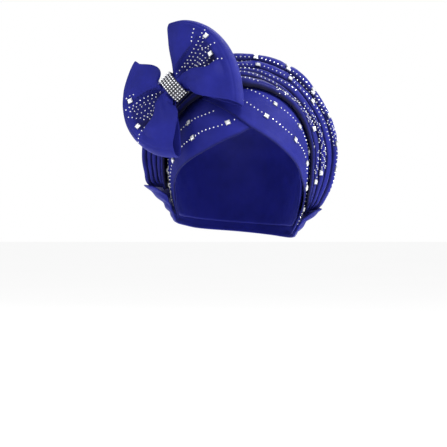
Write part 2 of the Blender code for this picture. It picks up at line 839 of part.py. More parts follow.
def main():
    for old in list(bpy.data.objects):
        bpy.data.objects.remove(old)
    cloth = material("blue_knit", BLUE, 0.6, 0.0)
    stones = material("silver_stones", SILVER, 0.2, 0.9)
    cap(cloth)
    under = forehead_band("front_band_under", UNDER_BAND, UNDER_LIFT, cloth)
    over = forehead_band("front_band_over", OVER_BAND, OVER_LIFT, cloth)
    halo = pleated_halo(cloth)
    nape_band(cloth)
    upper = bow_loop("bow_loop_upper", UPPER_LOOP, UPPER_FOLDS, 1, cloth)
    lower = bow_loop("bow_loop_lower", LOWER_LOOP, LOWER_FOLDS, -1, cloth)
    knot = knot_band(stones)
    bow_place = seat_bow((upper, lower, knot), (under, over, halo))
    carriers = {"over": over, "under": under, "halo": halo, "upper": upper, "lower": lower}
    square_studs(carriers, bow_place, stones)


main()
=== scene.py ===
"""The looks of the pleated head wrap: fine cloth pieces in place of the plain solids, with pleats,
folds, hems and a knit, rows of small round stones, and better stones on the knot band and the
square studs. Metres."""

import math

import bmesh
import bpy
import numpy as np
from mathutils import Matrix, Vector, noise


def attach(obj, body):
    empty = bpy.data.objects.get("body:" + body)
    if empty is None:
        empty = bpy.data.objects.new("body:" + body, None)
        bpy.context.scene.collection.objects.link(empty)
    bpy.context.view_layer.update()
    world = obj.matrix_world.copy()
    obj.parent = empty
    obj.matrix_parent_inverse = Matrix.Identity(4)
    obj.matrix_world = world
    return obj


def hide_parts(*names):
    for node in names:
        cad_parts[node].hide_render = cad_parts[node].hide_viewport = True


# Head hollow, walls and gaps, as in the solids
HEAD_WIDTH = 0.141
HEAD_LENGTH = 0.182
CROWN_RISE = 0.085
NAPE_FALL = 0.118
RIM_DROP = 0.150
CAP_WALL = 0.0015
BAND_WALL = 0.0015
NAPE_WALL = 0.0016
HALO_WALL = 0.0022
LOOP_WALL = 0.0018
LAYER_GAP = 0.0006
CAP_LIFT = CAP_WALL
UNDER_LIFT = CAP_LIFT + LAYER_GAP
OVER_LIFT = UNDER_LIFT + BAND_WALL + LAYER_GAP
WRAP_LIFT = OVER_LIFT + BAND_WALL + LAYER_GAP

# Roll, nape band and bow, as in the solids
HALO_RISE = 0.0300
PLEAT_HEIGHT = 0.0062
NAPE_FLARE = 0.024
LOOP_REACH = 0.072
LOOP_DEPTH = 0.024
LOOP_FOLD_HEIGHT = 0.0065
PINCH_WIDTH = 0.025
PINCH_DEPTH = 0.012
BOW_TILT = Vector((-0.45, -0.85, 0.27))
BOW_SLOPE = 43.0
KNOT_LENGTH = 0.015
KNOT_WALL = 0.0014
KNOT_CLEARANCE = 0.0012
STONE_HEIGHT = 0.0012
STONE_PITCH = 0.0030
STONES_FROM = 0.1
KNOT_POWER = 2.6
KNOT_FRONT_CLEARANCE = 1.6

# Camera: it looks along +Y at the middle of the photo's frame
CAMERA_PLACE = (-0.015, -1.685, -0.1515)
CAMERA_REACH = 1.6
FRAME_WIDTH = 0.447
SENSOR = 36.0
FLOOR_Z = -0.40
FLOOR_SIZE = 40.0
FLOOR_GLOW = 0.60
ROOM_LIGHT = 0.38

# Lower edge of the cap: azimuth from the front in degrees, drop as a share of RIM_DROP
CAP_RIM = (
    (-180, 1.0), (-120, 0.96), (-90, 0.93), (-75, 0.86), (-66, 0.7), (-55, 0.57), (-35, 0.47),
    (0, 0.29), (12, 0.3), (35, 0.45), (55, 0.57), (66, 0.7), (75, 0.84), (90, 1.0), (120, 1.02),
    (180, 1.0),
)

# Sections of each forehead band, from its lower end: azimuth and drop share of the face edge,
# azimuth and drop share of the edge under the roll
UNDER_BAND = (
    (-72, 0.955, -98, 0.815),
    (-70.5, 0.857, -97, 0.745),
    (-67.5, 0.77, -95, 0.655),
    (-62.8, 0.705, -91, 0.55),
    (-53, 0.638, -85, 0.43),
    (-40, 0.578, -76, 0.31),
    (-25.6, 0.523, -62, 0.2),
    (-13, 0.471, -46, 0.12),
    (1.6, 0.419, -20, 0.07),
    (14, 0.368, 14, 0.06),
    (30, 0.31, 34, 0.07),
    (46, 0.25, 50, 0.09),
)
OVER_BAND = (
    (66, 1.065, 90, 0.94),
    (71, 0.975, 96, 0.86),
    (74.5, 0.87, 98, 0.765),
    (69.5, 0.775, 96, 0.66),
    (60.4, 0.695, 91, 0.55),
    (53.2, 0.627, 85, 0.43),
    (43.4, 0.561, 76, 0.31),
    (31, 0.489, 64, 0.2),
    (19.2, 0.428, 48, 0.115),
    (10.6, 0.387, 30, 0.07),
    (0.4, 0.328, 8, 0.045),
    (-11.7, 0.272, -16, 0.045),
    (-23.2, 0.23, -34, 0.06),
    (-41, 0.186, -50, 0.085),
)

# Sections of the roll: angle in the front view, depth shares of half the head length at the front foot,
# the crest and the rear foot, rise share of HALO_RISE
HALO = (
    (-38, -0.15, 0.02, 0.26, 0.05),
    (-35.5, -0.2, 0.03, 0.3, 0.36),
    (-30, -0.27, 0.04, 0.35, 0.66),
    (-22, -0.31, 0.05, 0.42, 0.82),
    (-12, -0.32, 0.07, 0.48, 0.97),
    (5, -0.33, 0.08, 0.52, 1.07),
    (25, -0.37, 0.08, 0.57, 1.08),
    (45, -0.49, 0.07, 0.66, 0.97),
    (65, -0.62, 0.05, 0.76, 0.89),
    (90, -0.7, 0.05, 0.82, 0.72),
    (115, -0.65, 0.05, 0.78, 0.77),
    (140, -0.51, 0.05, 0.68, 0.8),
    (160, -0.33, 0.06, 0.58, 0.88),
    (176, -0.27, 0.07, 0.5, 0.92),
    (187, -0.26, 0.05, 0.42, 0.86),
    (196, -0.25, 0.03, 0.35, 0.72),
    (201.5, -0.22, 0.0, 0.25, 0.05),
)
FOOT_GAPS = 1.6
FULL_PLEAT_RISE = 0.6
FRONT_CURVE = 2.0
REAR_CURVE = 2.4
FULL_SPAN = max(row[3] - row[1] for row in HALO)
HALO_END_EASE = 0.4

# Pleats of the roll from front to rear: width share, height share
PLEATS = (
    (0.95, 0.75), (0.9, 0.8), (0.9, 0.85), (0.95, 0.8), (1.3, 1.3), (0.75, 1.0), (0.8, 0.9),
    (0.85, 0.8), (0.85, 0.7), (0.85, 0.6), (0.9, 0.5),
)

# Nape band from the left end round the back to the right: azimuth, drop shares of its upper and lower
# edges, flare share, and how far it stands off for the layers below
NAPE_CURVE = 2.4
NAPE_BAND = (
    (-74, 0.8, 0.962, 0.1, 1.0),
    (-78, 0.75, 0.963, 0.5, 1.0),
    (-84, 0.732, 0.966, 0.86, 1.0),
    (-93, 0.73, 0.97, 0.95, 1.0),
    (-106, 0.725, 0.985, 0.76, 1.0),
    (-118, 0.72, 1.0, 0.34, 0.8),
    (-135, 0.73, 1.025, 0.07, 0.4),
    (-180, 0.715, 1.055, 0.02, 0.0),
    (-222, 0.76, 1.075, 0.07, 0.4),
    (-240, 0.815, 1.08, 0.24, 0.8),
    (-254, 0.865, 1.08, 0.54, 1.0),
    (-265, 0.885, 1.075, 0.74, 1.0),
    (-274, 0.89, 1.073, 0.7, 1.0),
    (-281, 0.91, 1.07, 0.46, 1.0),
    (-286, 0.96, 1.068, 0.12, 1.0),
)

# Each loop of the bow across its width: place from one side to the other, angle from the bow's long
# axis, reach share, how far the side bows out as a share of the reach
UPPER_LOOP = (
    (-1.0, -59.5, 1.17, -0.05),
    (-0.7, -42.0, 1.06, -0.02),
    (-0.35, -20.0, 0.99, 0.0),
    (0.0, 1.0, 0.975, 0.0),
    (0.35, 22.0, 0.99, 0.0),
    (0.7, 42.0, 1.01, 0.0),
    (1.0, 58.0, 1.0, 0.0),
)
LOWER_LOOP = (
    (-1.0, -57.0, 1.06, -0.09),
    (-0.7, -40.0, 1.02, -0.03),
    (-0.35, -19.0, 0.95, 0.0),
    (0.0, 3.0, 0.89, 0.0),
    (0.35, 27.0, 0.83, 0.02),
    (0.7, 54.0, 0.8, 0.07),
    (1.0, 75.5, 0.815, 0.15),
)
# Folds that run out from the knot: place across the loop, height share
UPPER_FOLDS = (
    (-1.0, 0.1), (-0.75, 0.8), (-0.45, 0.7), (-0.22, -0.6), (0.1, -1.0), (0.3, -0.2), (0.55, 0.7),
    (0.8, 0.6), (1.0, 0.0),
)
LOWER_FOLDS = (
    (-1.0, 0.0), (-0.75, 0.7), (-0.5, 0.8), (-0.25, -0.5), (0.05, -1.0), (0.28, -0.2), (0.55, 0.7),
    (0.8, 0.6), (1.0, 0.0),
)
# The edge of the plain panel that rolls over the valley: share of the way out, place across, strength
UPPER_ROLL = (
    (0.0, -0.05, 0.5),
    (0.12, -0.12, 0.9),
    (0.3, -0.25, 1.0),
    (0.5, -0.42, 1.0),
    (0.7, -0.48, 1.0),
    (0.85, -0.42, 0.9),
    (0.95, -0.37, 0.4),
    (1.0, -0.36, 0.0),
)
LOWER_ROLL = (
    (0.0, -0.1, 0.5),
    (0.13, -0.22, 0.9),
    (0.32, -0.45, 1.0),
    (0.5, -0.56, 1.0),
    (0.71, -0.52, 1.0),
    (0.9, -0.43, 0.6),
    (1.0, -0.42, 0.0),
)
# The sharp crease on the other side of the valley: share of the way out, place across
UPPER_CREASE = ((0.0, 0.62), (0.3, 0.42), (0.64, 0.31), (1.0, 0.28))
LOWER_CREASE = ((0.0, 0.44), (0.15, 0.36), (0.6, 0.28), (1.0, 0.22))
ENTRY_SHARE = 0.16
PINCH_THINNING = 0.5
OPEN_THINNING = 0.2
OPENED_BY = 2 / 3
BACK_FOLD_SHARE = 0.3
BOW_OUT_FROM = 0.12
BOW_OUT_POWER = 0.6
FOLD_SHARE = 0.25

# Grid sizes of the fine cloth
CAP_COLUMNS = 160
CAP_RINGS = 60
BAND_ROWS = 150
BAND_COLUMNS = 50
HALO_ROWS = 240
HALO_STEPS = 18
NAPE_ROWS = 200
NAPE_COLUMNS = 36
LOOP_ROWS = 170
LOOP_COLUMNS = 130

# Relief of the fine cloth
HEM_RISE = 0.0004
HEM_SHARE = 0.09
PULL_HEIGHT = 0.0002
PLEAT_WANDER = 0.14
PLEAT_UNEVEN = 0.14
PLEAT_ROUND = 2.2
PLEAT_EDGE = 0.75
SMALL_CREASE = 0.0010
CREASE_DEPTH = 0.0036
CREASE_SHARE = 0.13
FOOT_TUCK = 0.0011
RIPPLE_HEIGHT = 0.0004
NAPE_FOLD = 0.0016
ROLL_WIDTH = 0.15
ROLL_REACH = 0.0045
ROLL_HEIGHT = 0.0042
CREASE_WIDTH = 0.022
CREASE_HEIGHT = 0.0022
VALLEY_DEPTH = 0.0028
PULL_RISE = 0.0006
SEAM_DEPTH = 0.0005
CAP_GATHER = 0.0003
# Across the rolled edge, in roll widths: centre and width of its push aside, of its crest, of the hollow
# beside it and of the painted shade in that hollow
ROLL_PUSH = (-0.30, 0.55)
ROLL_CREST = (-0.75, 0.9)
ROLL_HOLLOW = (0.75, 0.7)
ROLL_HOLLOW_DEPTH = 0.8
ROLL_HOLLOW_SHADE = (0.9, 0.8)
# The valley's slopes, the seam by the outer fold, and where the front's relief ends before that fold
VALLEY_EDGE = 0.12
SEAM_PLACE = 0.62
SEAM_WIDTH = 0.012
FRONT_END = -0.16
# Small creases on the pleats: place across a pleat, how far it swings, its width, degrees for one radian
CREASE_PLACE = 0.42
CREASE_SWING = 0.12
CREASE_SPREAD = 0.09
CREASE_SPAN = 19
# Folds of the nape band: radians of fold over its height, and how much noise bends them
NAPE_FOLD_TURN = 19
NAPE_FOLD_BEND = 1.2
# Noise of the roll: degrees along it for one swing, and its change from pleat to pleat
WANDER_SPAN = 22
WANDER_PLEATS = 1.3
UNEVEN_SPAN = 16
UNEVEN_STEP = 1.7
SMALL_SPAN = 24
SMALL_STEP = 3.1
RIPPLE_SPAN = 7
RIPPLE_STEP = 2.4
# Shares of the length and the width of a piece over which its edges are rounded
CAP_ROUNDING = 0.008
BAND_ROUNDING = (0.006, 0.02)
NAPE_ROUNDING = (0.004, 0.03)
LOOP_ROUNDING = (0.006, 0.012)
NET_ROUNDING = 0.05

# Painted shade, drawn into the cloth's colour between folds, towards the roll's front foot, in the bow's
# valley, along its crease, in the hollow by its rolled edge and along the bands' face edge: how dark the
# deepest cloth is, and how far the shade reaches
DARKEST_PAINTED_SHADE = 0.10
CREASE_SHADE = 0.95
CREASE_SHADE_REACH = 0.34
CREASE_SHADE_POWER = 1.5
FOOT_SHADE = 0.32
FOOT_SHADE_PLEATS = 4.2
VALLEY_SHADE = 0.45
ROLL_SHADE = 0.45
SHARP_SHADE = 0.45
HEM_SHADE = 0.6
HEM_SHADE_REACH = 0.045

# Materials: repeats of each pattern in a metre
WALE_SCALE = 330.0
COURSE_SCALE = 420.0
MOTTLE_SCALE = 38.0
RIPPLE_SCALE = 85.0
STONE_SCALE = 700.0
SILVER_SCALE = 900.0
FLOOR_SCALE = 2.0
# Where most of a noise lies, and what it or the stitches are brought to
NOISE_RANGE = (0.3, 0.7)
KNIT_ROUGHNESS = (0.56, 0.68)
CRYSTAL_ROUGHNESS = (0.08, 0.18)
SETTING_ROUGHNESS = (0.25, 0.40)
NET_ROUGHNESS = (0.45, 0.60)
KNIT_MOTTLE = (0.15, 0.85)
KNIT_STITCHES = (0.84, 1.06)

# Colours, each as deep and light
BLUE = ((0.009, 0.012, 0.17, 1.0), (0.017, 0.021, 0.27, 1.0))
BLUE_SHEEN = (0.18, 0.24, 1.0, 1.0)
CRYSTAL = ((0.78, 0.81, 0.88, 1.0), (1.0, 1.0, 1.0, 1.0))
SETTING = ((0.26, 0.27, 0.30, 1.0), (0.46, 0.47, 0.51, 1.0))
NET = ((0.05, 0.05, 0.06, 1.0), (0.14, 0.14, 0.16, 1.0))
FLOOR = ((0.88, 0.88, 0.88, 1.0), (0.92, 0.92, 0.92, 1.0))
WHITE = (1.0, 1.0, 1.0, 1.0)

# Lights: name, place, size, power
LIGHT_AIM = (0.0, 0.0, -0.07)
LIGHTS = (
    ("key", (0.40, -1.2, 1.2), 0.6, 15.5),
    ("right_side", (1.3, -0.1, 0.8), 0.5, 19.0),
    ("left_side", (-1.3, -0.5, 0.7), 0.8, 5.0),
    ("back", (0.5, 1.1, 1.2), 0.8, 15.0),
)

# Stones: the square studs' size as in the solids, their settings, and the small round studs
STUD_SIDE = 0.0046
STUD_SINK = 0.0001
# Cloth under a square stud: shares of its side within which the cloth meets it and is moved, how far off
# the cloth may lie, and how much it has to face the same way
SEAT_REACH = 0.55
SEAT_EASE = (0.6, 2.0)
SEAT_DEPTH = 0.006
SEAT_EASE_DEPTH = 0.008
SEAT_FACING = 0.2
CUP_WALL = 0.0003
CUP_HEIGHT = 0.0009
ROUND_SIZE = 0.0015
ROUND_HEIGHT = 0.0008
ROUND_PITCH = 0.0045
DENSE_PITCH = 0.0017
DENSE_SIZE = 0.0013
ROUND_SIDES = 8
CLEAR_OF_SQUARES = 0.0036
KNOT_STONE = 0.0019
KNOT_CUP = 0.0023
NET_ROWS = 150
NET_COLUMNS = 12
ROW_SAMPLES = 120
RING_SAMPLES = 1441
# A cut stone from below: share of its size, share of its height
STONE_PROFILE = ((1.0, -0.15), (1.0, 0.25), (0.82, 0.62), (0.45, 1.0))
# A square setting's section: share of its wall out from the stud, share of its height
CUP_PROFILE = ((1.0, -1 / 3), (1.0, 0.8), (0.3, 1.0), (-1.0, 0.9), (-1.0, -1 / 3))
# Shares of the stones' height on the knot: the cups, and the stones' foot and height
KNOT_CUP_HEIGHT = 0.45
KNOT_STONE_FOOT = 0.35
KNOT_STONE_HEIGHT = 0.75

# Rows of round studs on each carrier: the places (along, across) that a row passes through. On the roll,
# along is the angle in the front view and across counts pleats from the front.
ROUND_ROWS = {
    "under": (
        ((0.2, 0.62), (0.35, 0.62), (0.5, 0.59), (0.57, 0.55), (0.62, 0.49), (0.665, 0.47)),
        ((0.12, 0.3), (0.35, 0.29), (0.47, 0.31), (0.58, 0.28), (0.66, 0.216), (0.735, 0.216)),
    ),
    "over": (
        ((0.755, 0.66), (0.69, 0.645), (0.61, 0.61), (0.53, 0.66), (0.46, 0.69), (0.37, 0.64)),
        ((0.36, 0.62), (0.265, 0.52), (0.2, 0.42), (0.15, 0.36)),
        ((0.77, 0.36), (0.68, 0.315), (0.56, 0.31), (0.48, 0.34), (0.4, 0.365), (0.29, 0.29)),
        ((0.285, 0.28), (0.238, 0.15), (0.119, 0.2), (0.05, 0.2)),
    ),
    "halo": (
        ((104, 4.22), (80, 4.2), (60, 4.2), (40, 4.22), (22, 4.25), (8, 4.4), (-20, 4.5)),
        ((104, 4.07), (80, 4.07), (60, 4.07), (42, 4.08), (26, 4.1), (10, 4.15)),
        ((104, 3.3), (78, 3.25), (57, 3.3), (40, 3.35), (26, 3.5), (12, 3.6)),
        ((96, 1.45), (84, 1.4), (72, 1.35), (62, 1.3)),
        ((98, 2.4), (84, 2.35), (70, 2.35), (56, 2.4), (48, 2.4)),
        ((96, 0.5), (84, 0.45), (74, 0.4)),
        ((116, 4.22), (140, 4.2), (160, 4.3)),
        ((116, 3.3), (140, 3.3), (160, 3.4)),
    ),
    "upper": (
        ((-0.87, 0.42), (-0.72, 0.34), (-0.62, 0.27), (-0.5, 0.24), (-0.36, 0.23), (-0.16, 0.25)),
        ((-0.88, 0.1), (-0.79, 0.02), (-0.63, -0.16), (-0.5, -0.27), (-0.4, -0.3)),
        ((-0.8, 0.2), (-0.63, 0.1), (-0.48, 0.06), (-0.36, 0.08)),
        ((-0.66, -0.02), (-0.52, -0.1), (-0.42, -0.12)),
        ((-0.73, 0.28), (-0.57, 0.18), (-0.42, 0.16), (-0.26, 0.17)),
        ((-0.73, 0.07), (-0.56, -0.02), (-0.42, -0.02), (-0.3, -0.02)),
        ((-0.6, -0.1), (-0.48, -0.19), (-0.36, -0.22)),
        ((-0.39, 0.14), (-0.338, 0.045), (-0.245, -0.045), (-0.19, -0.06)),
        ((-0.2, 0.44), (-0.3, 0.4), (-0.37, 0.375), (-0.4, 0.32)),
        ((-0.19, -0.38), (-0.27, -0.36), (-0.34, -0.4)),
    ),
    "lower": (
        ((-0.82, 0.26), (-0.71, 0.24), (-0.5, 0.23), (-0.35, 0.19), (-0.17, 0.17)),
        ((-0.8, -0.12), (-0.7, -0.22), (-0.54, -0.32), (-0.44, -0.32)),
        ((-0.72, 0.08), (-0.6, 0.05), (-0.48, 0.11), (-0.365, 0.08), (-0.22, 0.1)),
        ((-0.63, -0.16), (-0.48, -0.18), (-0.34, -0.11), (-0.27, -0.04), (-0.2, 0.04)),
        ((-0.72, 0.17), (-0.56, 0.16), (-0.42, 0.15), (-0.26, 0.14)),
        ((-0.68, -0.04), (-0.53, -0.05), (-0.41, -0.03), (-0.3, 0.02)),
        ((-0.6, -0.24), (-0.47, -0.25), (-0.36, -0.2)),
        ((-0.19, 0.35), (-0.26, 0.385), (-0.34, 0.38), (-0.42, 0.33)),
        ((-0.36, -0.44), (-0.27, -0.37), (-0.2, -0.36), (-0.08, -0.36)),
    ),
}
# Dense rows, whose smaller studs lie scattered to both sides, as far across as the swing
DENSE_SWING = {"under": 0.07, "over": 0.07, "halo": 0.42}
DENSE_ROWS = {
    "under": (
        ((0.03, 0.38), (0.12, 0.4), (0.22, 0.46), (0.28, 0.52)),
        ((0.05, 0.5), (0.14, 0.52), (0.24, 0.58)),
    ),
    "over": (
        ((0.03, 0.34), (0.12, 0.38), (0.2, 0.44), (0.28, 0.56)),
        ((0.05, 0.48), (0.14, 0.52), (0.24, 0.62)),
    ),
    "halo": (
        ((62, 0.35), (50, 0.75), (41, 1.2), (31, 1.45), (22, 1.7)),
        ((60, 0.6), (45, 1.3), (33, 1.65), (24, 2.15), (14, 2.3), (2, 2.45), (-7, 2.5)),
        ((48, 1.55), (36, 2.15), (24, 2.35), (14, 2.5), (3, 2.65), (-6, 2.7)),
        ((14, 1.25), (0, 1.2), (-16, 1.4)),
        ((40, 4.32), (28, 4.38), (16, 4.45), (8, 4.5)),
    ),
}

UPPER = {
    "name": "bow_loop_upper_cloth", "loop": UPPER_LOOP, "folds": UPPER_FOLDS, "roll": UPPER_ROLL,
    "crease": UPPER_CREASE, "side": 1, "seed": 21, "studs": "upper",
}
LOWER = {
    "name": "bow_loop_lower_cloth", "loop": LOWER_LOOP, "folds": LOWER_FOLDS, "roll": LOWER_ROLL,
    "crease": LOWER_CREASE, "side": -1, "seed": 27, "studs": "lower",
}


def blended(rows, at):
    """The columns of a table at values of its first column, on a smooth curve through the rows."""
    table = np.array(rows, float)
    if table[0, 0] > table[-1, 0]:
        table = table[::-1]
    keys, values = table[:, 0], table[:, 1:]
    at = np.asarray(at, float)
    index = np.clip(np.searchsorted(keys, at, side="right") - 1, 0, len(keys) - 2)
    low = np.maximum(np.arange(len(keys)) - 1, 0)
    high = np.minimum(np.arange(len(keys)) + 1, len(keys) - 1)
    slopes = (values[high] - values[low]) / (keys[high] - keys[low])[:, None]
    span = (keys[index + 1] - keys[index])[..., None]
    share = np.clip((at[..., None] - keys[index][..., None]) / span, 0.0, 1.0)
    rise = 3 * share**2 - 2 * share**3
    leave = share**3 - 2 * share**2 + share
    arrive = share**3 - share**2
    start, end = values[index], values[index + 1]
    mixed_rows = start + (end - start) * rise
    mixed_rows += span * (slopes[index] * leave + slopes[index + 1] * arrive)
    return np.moveaxis(mixed_rows, -1, 0)


def numbered(rows):
    """The rows of a table with their place from 0 to 1 put in front."""
    return [(i / (len(rows) - 1),) + tuple(row) for i, row in enumerate(rows)]


def mixed(start, end, share):
    return start + (end - start) * share


def smooth(low, high, value):
    share = np.clip((value - low) / (high - low), 0.0, 1.0)
    return share**2 * (3 - 2 * share)


def bump(value, centre, width):
    return np.exp(-(((value - centre) / width) ** 2))


def clouds(first, second, seed):
    """Smooth noise from about -1 to 1 over two arrays of the same shape."""
    first, second = np.broadcast_arrays(np.asarray(first, float), np.asarray(second, float))
    values = [noise.noise(Vector((a, b, seed * 7.31))) for a, b in zip(first.flat, second.flat)]
    return np.array(values).reshape(first.shape) * 1.6


def stacked(*parts):
    return np.stack(np.broadcast_arrays(*parts), -1)


def form_point(azimuth, polar, lift):
    """Points on the head form, lifted off it: azimuth from the front, polar angle from the crown."""
    around, down = np.radians(azimuth), np.radians(polar)
    height = np.where(np.asarray(polar) <= 90, CROWN_RISE, NAPE_FALL)
    return stacked(
        (HEAD_WIDTH / 2 + lift) * np.sin(down) * np.sin(around),
        -(HEAD_LENGTH / 2 + lift) * np.sin(down) * np.cos(around),
        (height + lift) * np.cos(down) - CROWN_RISE,
    )


def form_polar(drop_share):
    """The polar angle of a level given as a share of RIM_DROP below the crown."""
    above = CROWN_RISE - np.asarray(drop_share) * RIM_DROP
    height = np.where(above > 0, CROWN_RISE, NAPE_FALL)
    return np.degrees(np.arccos(np.clip(above / height, -1, 1)))


def form_radius(angle, depth, lift):
    """How far the lifted head form reaches from the middle of its widest level, in the front view."""
    across = np.cos(np.radians(angle)) / (HEAD_WIDTH / 2 + lift)
    height = np.where(np.sin(np.radians(angle)) > 0, CROWN_RISE, NAPE_FALL)
    upward = np.sin(np.radians(angle)) / (height + lift)
    slice_share = np.sqrt(1 - (depth / (HEAD_LENGTH / 2 + lift)) ** 2)
    return slice_share / np.hypot(across, upward)


def grid_normals(points):
    """The unit normal at each point of a grid, from its neighbours."""
    along = np.gradient(points, axis=0)
    across = np.gradient(points, axis=1)
    normals = np.cross(along, across)
    return normals / np.maximum(np.linalg.norm(normals, axis=-1, keepdims=True), 1e-12)


def edge_stops(count, edge, stops=(0.0, 0.12, 0.3, 0.6, 1.0)):
    """Places from 0 to 1, evenly spaced, with closer ones within the edge share of both ends."""
    near = np.array(stops) * edge
    middle = np.linspace(edge, 1 - edge, count)
    return np.concatenate([near, middle[1:-1], 1 - near[::-1]])


def rim_thinning(places, edge):
    """How thick a wall is near its edge, so that its rim is rounded."""
    inward = np.clip(np.minimum(places, 1 - places) / edge, 0, 1)
    return np.sqrt(np.clip(1 - (1 - inward) ** 2, 0.02, 1))


def rounded_grid(rows, columns, rounding):
    """Places along and across a piece from 0 to 1, and how thick its wall is there towards its edges."""
    along = edge_stops(rows, rounding[0])[:, None]
    across = edge_stops(columns, rounding[1])[None, :]
    return along, across, rim_thinning(across, rounding[1]) * rim_thinning(along, rounding[0])


def placed(name, data):
    made = bpy.data.objects.new(name, data)
    bpy.context.scene.collection.objects.link(made)
    return made


def wall_piece(name, middle, thickness, finish, around=False, shade=None):
    """A closed cloth wall about a grid of points, which may close on itself along its first axis. The shade
    is painted shade: how much darker the cloth's colour is drawn at each point, for how deep between folds
    or how far in shadow it lies."""
    if around:
        normals = grid_normals(np.concatenate([middle[-2:-1], middle, middle[1:2]]))[1:-1]
    else:
        normals = grid_normals(middle)
    half = np.broadcast_to(np.asarray(thickness, float) / 2, middle.shape[:2])[..., None]
    outer, inner = middle + normals * half, middle - normals * half
    rows, columns = middle.shape[:2]
    if around:
        outer, inner, rows = outer[:-1], inner[:-1], rows - 1
    index = np.arange(rows * columns).reshape(rows, columns)
    wrapped = np.vstack([index, index[:1]]) if around else index
    corners = (wrapped[:-1, :-1], wrapped[1:, :-1], wrapped[1:, 1:], wrapped[:-1, 1:])
    quads = np.stack(corners, -1).reshape(-1, 4)
    count = rows * columns
    if around:
        first, last = wrapped[:-1, 0], wrapped[:-1, -1]
        first_next, last_next = wrapped[1:, 0], wrapped[1:, -1]
        rims = [
            np.stack([first_next, first, first + count, first_next + count], -1),
            np.stack([last, last_next, last_next + count, last + count], -1),
        ]
    else:
        ring = np.concatenate([index[0, :], index[1:, -1], index[-1, -2::-1], index[-2:0:-1, 0]])
        ahead = np.roll(ring, -1)
        rims = [np.stack([ring, ahead, ahead + count, ring + count], -1)]
    faces = np.concatenate([quads, quads[:, ::-1] + count] + rims)
    points = np.concatenate([outer.reshape(-1, 3), inner.reshape(-1, 3)])
    data = bpy.data.meshes.new(name)
    data.from_pydata(points, [], faces.tolist())
    lay_out(data, middle[:-1] if around else middle)
    if shade is not None:
        # Painted shade: each point's darkening of the cloth's colour, kept as an attribute that the knit
        # reads
        shade_amounts = np.tile(np.broadcast_to(shade, (rows, columns)).ravel(), 2).astype(np.float32)
        data.attributes.new("painted_shade", "FLOAT", "POINT").data.foreach_set("value", shade_amounts)
    data.shade_smooth()
    data.materials.append(finish)
    return placed(name, data)


def faced_piece(name, outer, wall, edges, finish, shade):
    """A cloth wall whose outer face is given, with its thickness share towards the edges."""
    middle = outer - grid_normals(outer) * wall / 2
    return wall_piece(name, middle, wall * edges, finish, shade=shade)


def lay_out(data, middle):
    """A UV map in metres, measured along and across the cloth."""
    along = np.linalg.norm(np.diff(middle, axis=0, prepend=middle[:1]), axis=-1).cumsum(axis=0)
    across = np.linalg.norm(np.diff(middle, axis=1, prepend=middle[:, :1]), axis=-1).cumsum(axis=1)
    flat = np.stack([along, across], -1).reshape(-1, 2)
    flat = np.concatenate([flat, flat + (1.0, 0.0)])
    corner = np.empty(len(data.loops), np.int32)
    data.loops.foreach_get("vertex_index", corner)
    layer = data.uv_layers.new(name="cloth")
    layer.data.foreach_set("uv", flat[corner].astype(np.float32).ravel())


# Materials


def feed(tree, made, inputs):
    """Sets or links the inputs of a shader node. A name such as n6 stands for the input at that place."""
    for key, value in inputs.items():
        socket = made.inputs[int(key[1:])] if key[0] == "n" and key[1:].isdigit() else made.inputs[key]
        if isinstance(value, bpy.types.NodeSocket):
            tree.links.new(value, socket)
        else:
            socket.default_value = value


def add_node(tree, kind, settings=None, **inputs):
    """A shader node with its settings, and its inputs set or linked."""
    made = tree.nodes.new(kind)
    for key, value in (settings or {}).items():
        setattr(made, key, value)
    feed(tree, made, inputs)
    return made


def spots_of(tree, scale, detail):
    """Noise that lies in the piece's own space."""
    space = add_node(tree, "ShaderNodeTexCoord").outputs["Object"]
    return add_node(tree, "ShaderNodeTexNoise", Vector=space, Scale=scale, Detail=detail).outputs["Fac"]


def ranged(tree, value, ends, source=(0.0, 1.0)):
    """A value brought from the source's range to the range between the ends."""
    places = {"n1": source[0], "n2": source[1], "n3": ends[0], "n4": ends[1]}
    return add_node(tree, "ShaderNodeMapRange", Value=value, **places).outputs["Result"]


def blend(tree, share, first, second, kind="MIX"):
    settings = {"data_type": "RGBA", "blend_type": kind}
    return add_node(tree, "ShaderNodeMix", settings, n0=share, n6=first, n7=second).outputs[2]


def bumps(tree, height, strength, distance, **inputs):
    made = add_node(tree, "ShaderNodeBump", Height=height, Strength=strength, Distance=distance, **inputs)
    return made.outputs["Normal"]


def finish_of(name, make, *looks):
    """A material whose main shader gets the inputs that the given function makes in its node tree."""
    made = bpy.data.materials.new(name)
    made.use_nodes = True
    tree = made.node_tree
    feed(tree, tree.nodes["Principled BSDF"], make(tree, *looks))
    return made


